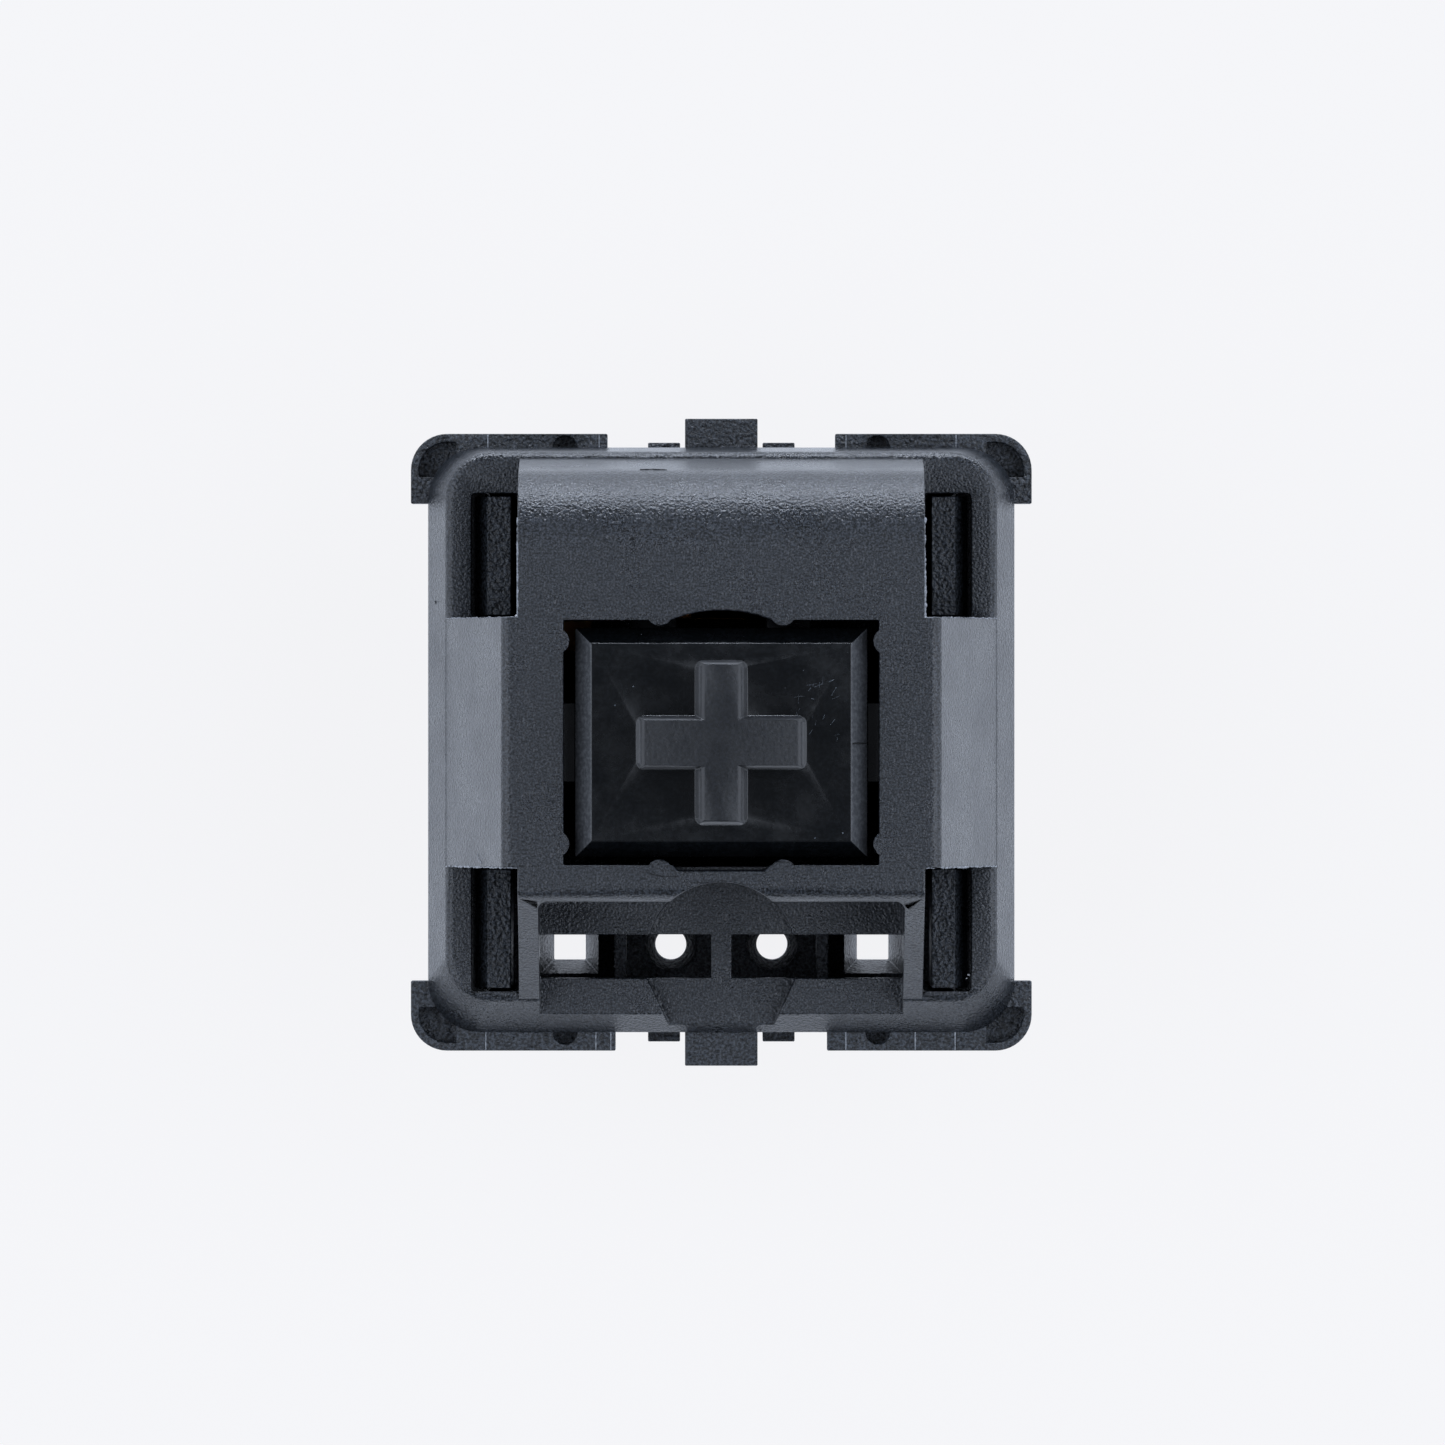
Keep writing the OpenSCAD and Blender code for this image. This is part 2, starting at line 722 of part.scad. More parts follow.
// The slot that a latch comes up through, with the ledge that its barb holds
module latch_slot() {
    slab(ledge_z, skirt_z + weld) latch_slot_plan(slot_out);
    slab(rim_z - weld, ledge_z + weld) latch_slot_plan(ledge_x);
}

module latch_slot_plan(out) {
    w = out - slot_x;
    translate([slot_x + w / 2, recess_y + latch_slot_l / 2]) round_rect(w, latch_slot_l, 0.1);
}

// Lips that locate the upper housing inside the lower one
module locating_lips() {
    both_x() run_y(2 * guide_y)
        polygon([[inner - lip_t, guide_top + 0.1], [inner - slide, guide_top + 0.1],
                 [inner - slide, skirt_z], [inner - lip_t, skirt_z - lip_t]]);
}

module top_housing() {
    color("#2a2a2c") {
        difference() {
            case_outside();
            case_chamber();
            slab(roof_z - weld, far) opening_plan();
            lamp_cuts();
            both_x() both_y() latch_slot();
        }
        locating_lips();
    }
}

// Stem

module cross() {
    cross_bar(cross_x, cross_x_t);
    cross_bar(cross_y_t, cross_y);
}

module cross_bar(w, d) {
    intersection() {
        bevelled_block(w, d, top_z - weld, top_z + cross_h, cross_bevel_x, cross_bevel_y, cross_bevel_x);
        slab(top_z - 2 * weld, top_z + cross_h + weld) round_rect(w, d, cross_corner_r);
    }
}

// Wings that run in the guides and stop under the roof
module wings() {
    lead = 0.3;
    both_x() run_x(wing_x - stem_w / 2 + 0.6, (wing_x + stem_w / 2 - 0.6) / 2)
        polygon([[lead - wing_w / 2, wing_z], [wing_w / 2 - lead, wing_z], [wing_w / 2, wing_z + 2 * lead],
                 [wing_w / 2, wing_top], [-wing_w / 2, wing_top], [-wing_w / 2, wing_z + 2 * lead]]);
}

// Legs whose ramps let the leaf go as the stem moves down
module legs() {
    thin_y = leg_y - ramp_in;
    both_x() run_x(leg_w, leg_x)
        polygon([[stem_d / 2 - weld, leg_root_z], [leg_back, leg_root_z], [leg_back, leg_z],
                 [leg_y - 0.2, leg_z], [leg_y, leg_z + 0.3], [leg_y, touch_z],
                 [thin_y, touch_z + ramp_h], [thin_y, leg_top], [stem_d / 2 - weld, leg_top]]);
}

module stem() {
    color("#16181c") {
        difference() {
            union() {
                bevelled_block(stem_w, stem_d, block_z, top_z, stem_bevel, stem_bevel, stem_bevel_h);
                wings();
            }
            translate([0, 0, wing_z - weld]) cylinder(r = spring_room_r, h = spring_top - wing_z + weld);
        }
        cross();
        legs();
        translate([0, 0, pole_z + tip]) cylinder(r = pole_r, h = top_z - pole_z - tip - weld);
        translate([0, 0, pole_z]) cylinder(r1 = pole_r - tip, r2 = pole_r, h = tip);
    }
}

// Return spring

// Height of the wire's middle after t turns: one closed turn at each end
function coil_height(t, low, high) =
    let (pitch = (high - low - 2 * wire_d) / (coil_turns - 2))
    t < 1 ? low + t * wire_d
    : t > coil_turns - 1 ? high - (coil_turns - t) * wire_d
    : low + wire_d + (t - 1) * pitch;

module return_spring() {
    steps = 20;
    sides = 6;
    rings = coil_turns * steps;
    low = floor_t + wire_d / 2 + fit / 2;
    high = spring_top - wire_d / 2 - 0.05;
    points = [for (i = [0:rings], k = [0:sides - 1])
        let (turn = i * 360 / steps, side = k * 360 / sides, r = coil_r + wire_d / 2 * cos(side))
        [r * cos(turn), r * sin(turn), coil_height(i / steps, low, high) + wire_d / 2 * sin(side)]];
    walls = [for (i = [0:rings - 1], k = [0:sides - 1])
        let (a = i * sides + k, b = i * sides + (k + 1) % sides)
        each [[a, a + sides, b], [b, a + sides, b + sides]]];
    start = [for (k = [0:sides - 1]) k];
    end = [for (k = [sides - 1:-1:0]) rings * sides + k];
    color("#b9bcc0") polyhedron(points, concat(walls, [start], [end]), convexity = 10);
}

// Contacts

// A pin through the floor, with a foot that reaches a plate standing beside it
module pin_and_foot(place, plate_side) {
    half = sheet_t / 2;
    run_y(sheet_t, place.y)
        polygon([[place.x - pin_w / 2 + pin_taper, -pin_l], [place.x + pin_w / 2 - pin_taper, -pin_l],
                 [place.x + pin_w / 2, 2 * pin_taper - pin_l], [place.x + pin_w / 2, foot_z + foot_t],
                 [place.x - pin_w / 2, foot_z + foot_t], [place.x - pin_w / 2, 2 * pin_taper - pin_l]]);
    box([place.x - pin_w / 2 - foot_lap, place.y - half - foot_lap, foot_z],
        [place.x + pin_w / 2 + foot_lap, plate_side, foot_z + foot_t]);
}

module fixed_terminal() {
    color("#b87a4a") {
        pin_and_foot(fixed_pin, plate_north);
        run_y(sheet_t, plate_y + sheet_t / 2)
            polygon([[plate_end, foot_z], [plate_x, foot_z], [plate_x, run_top + weld],
                     [-plate_x, run_top + weld], [-plate_x, run_top], [plate_end, run_top]]);
        run_x(2 * plate_x) fixed_upright();
    }
}

// The upright between the stem's legs, bent back from the plate
module fixed_upright() {
    bend_z = run_top + 2 * plate_bend;
    upright_top = point_z + 0.5;
    polygon([[plate_y, run_top], [plate_north, run_top], [upright_north, bend_z], [upright_north, upright_top - 0.15],
             [upright_north - 0.15, upright_top], [upright_y, upright_top], [upright_y, bend_z],
             [plate_y, run_top + 0.1]]);
}

module fixed_contact_point() {
    color("#d9b45a") run_x(point_l)
        polygon([[upright_north, point_z - point_h], [upright_north + point_h, point_z],
                 [upright_north, point_z + point_h]]);
}

module leaf_terminal() {
    color("#b87a4a") {
        pin_and_foot(leaf_pin, carrier_y + sheet_t);
        box([leaf_pin.x - pin_w, carrier_y, foot_z], [hinge_x + pad_end, carrier_y + sheet_t, carrier_top]);
    }
}

// A strip bent in the YZ plane, from the band to a height above it
module leaf_strip(path) {
    back = [for (i = [len(path) - 1:-1:0]) [path[i].x + leaf_t, path[i].y]];
    polygon(concat(path, back));
}

module contact_leaf() {
    root = band_top - weld;
    color("#c98a52") {
        slab(band_z, band_top)
            polygon([[hinge_x + pad_end, pad_y + leaf_t], [hinge_x - pad_end, pad_y + leaf_t],
                     [hinge_x - pad_bend, band_y + leaf_t], [-leaf_end, band_y + leaf_t], [-leaf_end, band_y],
                     [hinge_x - pad_bend, band_y], [hinge_x - pad_end, pad_y], [hinge_x + pad_end, pad_y]]);
        both_x() run_x(leg_w - 0.2, leg_x)
            leaf_strip([[band_y, root], [foot_y, touch_z], [foot_y + foot_tip / 2, touch_z + foot_tip]]);
        run_x(2 * plate_x - 0.4)
            leaf_strip([[band_y, root], [tongue_y, touch_z + 0.2], [tongue_y, point_z + tongue_tip]]);
    }
}

module leaf_contact_point() {
    color("#d9b45a") slab(point_z - point_l / 2, point_z + point_l / 2)
        polygon([[-point_h, tongue_y], [0, tongue_y - point_h], [point_h, tongue_y]]);
}

bottom_housing();
top_housing();
stem();
return_spring();
fixed_terminal();
fixed_contact_point();
leaf_terminal();
contact_leaf();
leaf_contact_point();
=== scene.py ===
import logging
import math
import random
from dataclasses import dataclass, field
from enum import Enum

import bmesh
import bpy
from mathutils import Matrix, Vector
from mathutils.bvhtree import BVHTree

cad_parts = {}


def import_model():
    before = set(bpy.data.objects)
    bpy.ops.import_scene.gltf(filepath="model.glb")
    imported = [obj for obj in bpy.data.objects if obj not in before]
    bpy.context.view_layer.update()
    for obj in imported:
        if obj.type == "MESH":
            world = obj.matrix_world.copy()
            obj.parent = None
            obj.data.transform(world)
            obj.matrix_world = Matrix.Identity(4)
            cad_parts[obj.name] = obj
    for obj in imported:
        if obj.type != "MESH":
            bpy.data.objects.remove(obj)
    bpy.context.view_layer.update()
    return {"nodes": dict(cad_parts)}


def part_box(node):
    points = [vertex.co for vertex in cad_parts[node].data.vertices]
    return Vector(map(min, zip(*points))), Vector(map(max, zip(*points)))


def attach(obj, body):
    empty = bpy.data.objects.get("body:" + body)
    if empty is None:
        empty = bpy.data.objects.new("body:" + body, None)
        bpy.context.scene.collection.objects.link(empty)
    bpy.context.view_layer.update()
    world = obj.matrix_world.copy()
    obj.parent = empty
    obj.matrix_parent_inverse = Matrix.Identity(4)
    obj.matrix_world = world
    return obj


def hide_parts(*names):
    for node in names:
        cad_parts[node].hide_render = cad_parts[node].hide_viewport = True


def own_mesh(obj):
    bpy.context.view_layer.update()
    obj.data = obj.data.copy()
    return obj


LOG = logging.getLogger("key_switch")

# One millimetre in the scene's metres
MM = 0.001


class Body(Enum):
    """The bodies that pieces ride on."""

    HOUSING = "housing"
    PLUNGER = "plunger"
    LEAF = "leaf"


class Slot(Enum):
    """The record's material slots."""

    LOWER = "lower_nylon"
    UPPER = "upper_nylon"
    STEM = "stem_acetal"
    SPRING = "spring_wire"
    TERMINAL = "terminal_bronze"
    LEAF = "leaf_copper"
    POINT = "contact_gold"


def linear(colour: str) -> tuple[float, float, float, float]:
    """Turns an sRGB hex colour to linear light.

    Args:
        colour: Six hex digits after a hash, such as "#2a2a2c".

    Returns:
        Red, green, blue and an alpha of 1.
    """
    parts = [int(colour[i : i + 2], 16) / 255 for i in (1, 3, 5)]
    light = [c / 12.92 if c <= 0.04045 else ((c + 0.055) / 1.055) ** 2.4 for c in parts]
    return (light[0], light[1], light[2], 1.0)


def add(tree: bpy.types.NodeTree, kind: str, inputs: dict | None = None,
        **settings: object) -> bpy.types.Node:
    """Adds a node, with its settings, values and links.

    Args:
        tree: The node tree that gets the node.
        kind: The node's type name.
        inputs: Input name or number to a value, or to the socket that feeds it.
        **settings: The node's own properties.

    Returns:
        The new node.
    """
    node = tree.nodes.new(kind)
    for key, value in settings.items():
        setattr(node, key, value)
    for key, value in (inputs or {}).items():
        if isinstance(value, bpy.types.NodeSocket):
            tree.links.new(value, node.inputs[key])
        else:
            node.inputs[key].default_value = value
    return node


@dataclass(frozen=True)
class MouldedPlastic:
    """A thermoplastic moulding: a body colour, a sparked or polished skin, and the marks of handling."""

    name: str
    colour: str
    grain_colour: str
    roughness: float
    grain_mm: float
    grain_height_mm: float
    # Softer, wider changes of gloss, as skin oil and moulding leave them
    mottle_mm: float = 1.6
    mottle: float = 0.12
    # Loose dust: the spacing of the grains, their radius and how many of the places hold one
    dust_mm: float = 0.3
    dust_radius_mm: float = 0.02
    dust_share: float = 0.1
    dust_colour: str = "#6c7076"
    ior: float = 1.53
    # How many pits a grain's width holds, and between which noise levels the grain turns pale
    pits_per_grain: float = 0.7
    pale_from: float = 0.42
    pale_to: float = 0.64

    def build(self) -> bpy.types.Material:
        """Makes the material.

        Returns:
            A material whose grain, mottling and dust are set in real millimetres.
        """
        material = bpy.data.materials.new(self.name)
        material.use_nodes = True
        tree = material.node_tree
        shader = tree.nodes["Principled BSDF"]
        place = add(tree, "ShaderNodeTexCoord").outputs["Object"]
        grain = self.noise(tree, place, self.grain_mm, 2.0)
        spacing = self.grain_mm * MM / self.pits_per_grain
        pits = add(tree, "ShaderNodeTexVoronoi", {"Vector": place, "Scale": 1 / spacing},
                   feature="SMOOTH_F1").outputs["Distance"]
        mottle = self.noise(tree, place, self.mottle_mm, 4.0)
        speckle = add(tree, "ShaderNodeMapRange", {"Value": grain, "From Min": self.pale_from,
                                                   "From Max": self.pale_to})
        body = add(tree, "ShaderNodeMix", {"Factor": speckle.outputs["Result"], 6: linear(self.colour),
                                           7: linear(self.grain_colour)}, data_type="RGBA")
        dusty = add(tree, "ShaderNodeMix", {"Factor": self.dust(tree, place), 6: body.outputs[2],
                                            7: linear(self.dust_colour)}, data_type="RGBA")
        rough = add(tree, "ShaderNodeMapRange", {"Value": mottle, "From Min": 0.3, "From Max": 0.7,
                                                 "To Min": self.roughness - self.mottle / 2,
                                                 "To Max": self.roughness + self.mottle / 2})
        height = add(tree, "ShaderNodeMath", {0: grain, 1: pits})
        bump = add(tree, "ShaderNodeBump", {"Strength": 1.0, "Distance": self.grain_height_mm * MM,
                                            "Height": height.outputs["Value"]})
        tree.links.new(dusty.outputs[2], shader.inputs["Base Color"])
        tree.links.new(rough.outputs["Result"], shader.inputs["Roughness"])
        tree.links.new(bump.outputs["Normal"], shader.inputs["Normal"])
        shader.inputs["IOR"].default_value = self.ior
        return material

    def noise(self, tree: bpy.types.NodeTree, place: bpy.types.NodeSocket, size_mm: float,
              detail: float) -> bpy.types.NodeSocket:
        """Adds a noise whose features have a given size.

        Args:
            tree: The material's node tree.
            place: The socket with the place on the surface.
            size_mm: The size of a feature.
            detail: How many finer layers it has.

        Returns:
            The socket with the noise, from 0 to 1.
        """
        noise = add(tree, "ShaderNodeTexNoise", {"Vector": place, "Scale": 1 / (size_mm * MM),
                                                 "Detail": detail, "Roughness": 0.6})
        return noise.outputs["Fac"]

    def dust(self, tree: bpy.types.NodeTree, place: bpy.types.NodeSocket) -> bpy.types.NodeSocket:
        """Adds scattered grains of dust.

        Args:
            tree: The material's node tree.
            place: The socket with the place on the surface.

        Returns:
            The socket that is 1 on a grain and 0 beside it.
        """
        cells = add(tree, "ShaderNodeTexVoronoi", {"Vector": place, "Scale": 1 / (self.dust_mm * MM)},
                    feature="F1")
        reach = self.dust_radius_mm / self.dust_mm
        near = add(tree, "ShaderNodeMapRange", {"Value": cells.outputs["Distance"], "From Min": reach,
                                                "From Max": 0.5 * reach})
        chosen = add(tree, "ShaderNodeMath", {0: cells.outputs["Color"], 1: self.dust_share},
                     operation="LESS_THAN")
        return add(tree, "ShaderNodeMath", {0: near.outputs["Result"], 1: chosen.outputs[0]},
                   operation="MULTIPLY").outputs[0]


@dataclass(frozen=True)
class ContactMetal:
    """Rolled, stamped or drawn metal: its colour, with fine lines along the way it was worked."""

    name: str
    colour: str
    dull_colour: str
    roughness: float
    line_mm: tuple[float, float, float] = (0.6, 0.6, 0.03)
    line_height_mm: float = 0.001
    # How much smoother and rougher than its mean the metal gets from line to line
    smoother: float = 0.08
    rougher: float = 0.12

    def build(self) -> bpy.types.Material:
        """Makes the material.

        Returns:
            A metal with streaks of the given length, width and spacing.
        """
        material = bpy.data.materials.new(self.name)
        material.use_nodes = True
        tree = material.node_tree
        shader = tree.nodes["Principled BSDF"]
        place = add(tree, "ShaderNodeTexCoord").outputs["Object"]
        stretch = tuple(1 / (size * MM) for size in self.line_mm)
        stretched = add(tree, "ShaderNodeMapping", {"Vector": place, "Scale": stretch})
        lines = add(tree, "ShaderNodeTexNoise", {"Vector": stretched.outputs["Vector"], "Scale": 1.0,
                                                 "Detail": 3.0})
        body = add(tree, "ShaderNodeMix", {"Factor": lines.outputs["Fac"], 6: linear(self.colour),
                                           7: linear(self.dull_colour)}, data_type="RGBA")
        rough = add(tree, "ShaderNodeMapRange", {"Value": lines.outputs["Fac"],
                                                 "To Min": self.roughness - self.smoother,
                                                 "To Max": self.roughness + self.rougher})
        bump = add(tree, "ShaderNodeBump", {"Strength": 1.0, "Distance": self.line_height_mm * MM,
                                            "Height": lines.outputs["Fac"]})
        tree.links.new(body.outputs[2], shader.inputs["Base Color"])
        tree.links.new(rough.outputs["Result"], shader.inputs["Roughness"])
        tree.links.new(bump.outputs["Normal"], shader.inputs["Normal"])
        shader.inputs["Metallic"].default_value = 1.0
        return material


@dataclass
class Finishes:
    """Every finish of the switch, each made once."""

    made: dict[Slot | str, bpy.types.Material] = field(default_factory=dict)

    def build(self) -> None:
        """Makes the seven slots' finishes and the six that dress parts of them or lie on them."""
        # Black nylon with a coarse sparked skin: dark, with dull pin-point glints
        self.made[Slot.LOWER] = MouldedPlastic("nylon_coarse_spark", "#090b0d", "#3e434a", roughness=0.45,
                                               grain_mm=0.07, grain_height_mm=0.05,
                                               dust_share=0.05).build()
        # The same nylon with a finer sparked skin: a soft satin that greys at a low angle
        self.made[Slot.UPPER] = MouldedPlastic("nylon_fine_spark", "#090b0d", "#3a3e44", roughness=0.29,
                                               grain_mm=0.05, grain_height_mm=0.017,
                                               dust_share=0.03).build()
        # Black acetal from a polished mould: deep and oily, with thin bright edges
        self.made[Slot.STEM] = MouldedPlastic("acetal_polished", "#07090b", "#0e1114", roughness=0.24,
                                              grain_mm=0.1, grain_height_mm=0.0015, mottle_mm=0.8,
                                              mottle=0.2, dust_mm=0.22, dust_share=0.12).build()
        # The same acetal where the mould was only stoned: a dull satin on the cross
        self.made["satin"] = MouldedPlastic("acetal_stoned", "#0b0d10", "#171a1f", roughness=0.38,
                                            grain_mm=0.08, grain_height_mm=0.004, mottle_mm=0.6,
                                            dust_mm=0.3, dust_share=0.06).build()
        # The shoulder's west and east bevels: a rougher skin, and a flat grey colour that paints in the side
        # lamps' light on them
        self.made["frosted"] = MouldedPlastic("acetal_frosted", "#3a3c3f", "#515356", roughness=0.6,
                                              grain_mm=0.08, grain_height_mm=0.006,
                                              dust_share=0.02).build()
        # Stretched nylon at cut edges and witness lines: paler than the moulding
        self.made["flash"] = MouldedPlastic("nylon_flash", "#75797f", "#9da1a7", roughness=0.5,
                                            grain_mm=0.05, grain_height_mm=0.002).build()
        # Painted shade: near-black threads laid along creases and edges that no light reaches
        self.made["shade"] = MouldedPlastic("nylon_painted_shade", "#040506", "#08090a", roughness=0.7,
                                            grain_mm=0.05, grain_height_mm=0.002).build()
        # Loose white flecks of dust and plastic, and white flecks in a slot that paint the light showing
        # through its gap
        self.made["dust"] = MouldedPlastic("dust_and_painted_light_leak", "#b9bcc0", "#d8dadd", roughness=0.8,
                                            grain_mm=0.05, grain_height_mm=0.002).build()
        # Rubbed acetal: a faint grey bloom on the black
        self.made["scuff"] = MouldedPlastic("acetal_rubbed", "#3a4047", "#565e67", roughness=0.5,
                                            grain_mm=0.05, grain_height_mm=0.001).build()
        # Stainless spring wire: bright, with drawn lines
        self.made[Slot.SPRING] = ContactMetal("stainless_drawn", "#c9cbcd", "#a8abae", 0.28).build()
        # Phosphor bronze strip: warm, half bright, with rolling lines
        self.made[Slot.TERMINAL] = ContactMetal("phosphor_bronze_rolled", "#c98f5e", "#a56f45", 0.3).build()
        # Copper alloy spring strip: redder and brighter
        self.made[Slot.LEAF] = ContactMetal("copper_alloy_rolled", "#d79a68", "#b87a4e", 0.25).build()
        # Gold-clad contact wire: yellow and clean
        self.made[Slot.POINT] = ContactMetal("gold_clad", "#e2bd68", "#cfa552", 0.22).build()

    def __getitem__(self, slot: Slot | str) -> bpy.types.Material:
        """Gives the material of a slot, or of a named extra finish."""
        return self.made[slot]


@dataclass
class SoftEdgedCopy:
    """A merged copy of one CAD node whose edges are rounded as a mould or a press rounds them."""

    node: str
    edge_mm: float
    segments: int = 3
    # Corners closer than this are one
    merge_mm: float = 0.0005
    # Edges that bend more than this are rounded, and faces that bend less than flat_deg are one
    sharp_deg: float = 46.0
    flat_deg: float = 0.6
    # How far a joined face's corners may be from square, so that none is hollow
    square_deg: float = 70.0
    least_share: float = 0.08
    # A corner further from the surface than this share of the rounding is a stray one
    stray_share: float = 0.4
    # A face that looks this much against the surface is folded over
    folded: float = -0.1

    def build(self, name: str, source: bpy.types.Object) -> bpy.types.Object:
        """Makes the copy.

        Args:
            name: The new piece's name.
            source: The CAD node's object, which is left as it is.

        Returns:
            A plain mesh object at the origin, with rounded edges.
        """
        mesh = source.data.copy()
        mesh.name = name
        piece = bpy.data.objects.new(name, mesh)
        bpy.context.scene.collection.objects.link(piece)
        work = bmesh.new()
        work.from_mesh(mesh)
        bmesh.ops.remove_doubles(work, verts=work.verts, dist=self.merge_mm * MM)
        flat = math.radians(self.flat_deg)
        bmesh.ops.dissolve_limit(work, angle_limit=flat, verts=work.verts, edges=work.edges)
        # Faces with holes in them are cut into small ones, so that each stays flat and whole
        bmesh.ops.triangulate(work, faces=work.faces[:], ngon_method="BEAUTY")
        bmesh.ops.join_triangles(work, faces=work.faces[:], angle_face_threshold=flat,
                                 angle_shape_threshold=math.radians(self.square_deg))
        bmesh.ops.recalc_face_normals(work, faces=work.faces)
        self.weigh(work)
        work.to_mesh(mesh)
        work.free()
        mesh.shade_smooth()
        mesh.materials.clear()
        self.round_off(piece)
        self.put_back(piece, source.data)
        self.even_out(piece)
        return piece

    def weigh(self, work: bmesh.types.BMesh) -> None:
        """Marks the edges to round, less where there is little room.

        Args:
            work: The merged mesh.
        """
        layer = work.edges.layers.float.new("bevel_weight_edge")
        limit = math.radians(self.sharp_deg)
        sharp = {edge for edge in work.edges
                 if len(edge.link_faces) == 2 and edge.calc_face_angle(0.0) > limit}
        for edge in sharp:
            share = self.room(edge, sharp) / (self.edge_mm * MM)
            edge[layer] = max(self.least_share, min(1.0, share))

    def room(self, edge: bmesh.types.BMEdge, sharp: set[bmesh.types.BMEdge]) -> float:
        """Finds how wide an edge can be rounded before it runs over its neighbours.

        Args:
            edge: The edge to round.
            sharp: All the edges that are rounded.

        Returns:
            The width in metres.
        """
        # A little more than the two ends' share of an edge, and the smallest bends that are told apart
        spare = 2.4
        least_bend = 0.05
        least_slope = 0.02
        along = edge.verts[1].co - edge.verts[0].co
        rooms = [along.length]
        for end, way in ((edge.verts[1], along), (edge.verts[0], -along)):
            for near in end.link_edges:
                if near is edge:
                    continue
                side = near.other_vert(end).co - end.co
                turn = way.angle(side, 0.0)
                if near in sharp:
                    # Two rounded edges shorten each other at their corner
                    bend = max(math.tan(turn / 2), least_bend)
                    rooms.append(min(side.length, along.length) / (spare * bend))
                else:
                    # The rounding ends on this neighbour, further out the flatter they meet
                    rooms.append(side.length * max(math.sin(turn), least_slope) / (spare / 2))
        return min(rooms)

    def round_off(self, piece: bpy.types.Object) -> None:
        """Rounds the marked edges and makes the result a plain mesh.

        Args:
            piece: The object to finish.
        """
        bevel = piece.modifiers.new("edges", "BEVEL")
        bevel.limit_method = "WEIGHT"
        bevel.width = self.edge_mm * MM
        bevel.segments = self.segments
        bevel.use_clamp_overlap = False
        bevel.loop_slide = False
        settle(piece)

    def put_back(self, piece: bpy.types.Object, source: bpy.types.Mesh) -> None:
        """Puts corners that a rounding threw off back on the surface, and turns folded faces outward.

        Args:
            piece: The rounded object.
            source: The CAD node's mesh, which is only read.
        """
        corners = [vertex.co for vertex in source.vertices]
        surface = BVHTree.FromPolygons(corners, [face.vertices for face in source.polygons])
        work = bmesh.new()
        work.from_mesh(piece.data)
        for vertex in work.verts:
            place, _, _, away = surface.find_nearest(vertex.co)
            if away > self.stray_share * self.edge_mm * MM:
                vertex.co = place
        work.normal_update()
        for face in work.faces:
            outward = surface.find_nearest(face.calc_center_median())[1]
            if face.normal.dot(outward) < self.folded:
                face.normal_flip()
        work.to_mesh(piece.data)
        work.free()

    def even_out(self, piece: bpy.types.Object) -> None:
        """Shades the piece so that large faces look flat and only the roundings turn.

        Args:
            piece: The object to shade.
        """
        shading = piece.modifiers.new("shading", "WEIGHTED_NORMAL")
        shading.mode = "FACE_AREA"
        shading.weight = 100
        settle(piece)


def settle(piece: bpy.types.Object) -> None:
    """Turns an object's modifiers into a plain mesh.

    Args:
        piece: The object, whose modifiers are gone afterwards.
    """
    bpy.context.view_layer.update()
    seen = piece.evaluated_get(bpy.context.evaluated_depsgraph_get())
    mesh = bpy.data.meshes.new_from_object(seen)
    mesh.name = piece.name
    piece.modifiers.clear()
    piece.data = mesh


@dataclass(frozen=True)
class FinishZone:
    """A stretch of a moulding that gets another material: another skin from the mould, as on the stem's
    cross, and painted sheen, as on its side bevels.
    """

    material: bpy.types.Material
    low_mm: float
    high_mm: float
    # How much the faces look up, and how much they look sideways along X
    least_up: float = -1.0
    most_up: float = 1.0
    least_side: float = 0.0

    def dress(self, piece: bpy.types.Object) -> None:
        """Gives the zone's faces their material.

        Args:
            piece: The moulding's finished mesh object.
        """
        piece.data.materials.append(self.material)
        number = len(piece.data.materials) - 1
        for face in piece.data.polygons:
            level = self.low_mm * MM <= face.center.z <= self.high_mm * MM
            tilt = self.least_up <= face.normal.z <= self.most_up and abs(face.normal.x) >= self.least_side
            if level and tilt:
                face.material_index = number


@dataclass
class Moulding:
    """One of the three mouldings, as a soft-edged copy that stands for its CAD node."""

    node: str
    body: Body
    slot: Slot
    edge_mm: float
    finishes: Finishes
    zones: tuple[FinishZone, ...] = ()

    def build(self, nodes: dict[str, bpy.types.Object]) -> bpy.types.Object:
        """Makes and dresses the moulding.

        Args:
            nodes: The CAD nodes by name.

        Returns:
            The finished piece, riding on its body.
        """
        piece = SoftEdgedCopy(self.node, self.edge_mm).build(f"{self.node}_skin", nodes[self.node])
        piece.data.materials.append(self.finishes[self.slot])
        for zone in self.zones:
            zone.dress(piece)
        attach(piece, self.body.value)
        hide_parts(self.node)
        LOG.info("%s: %d faces", piece.name, len(piece.data.polygons))
        return piece


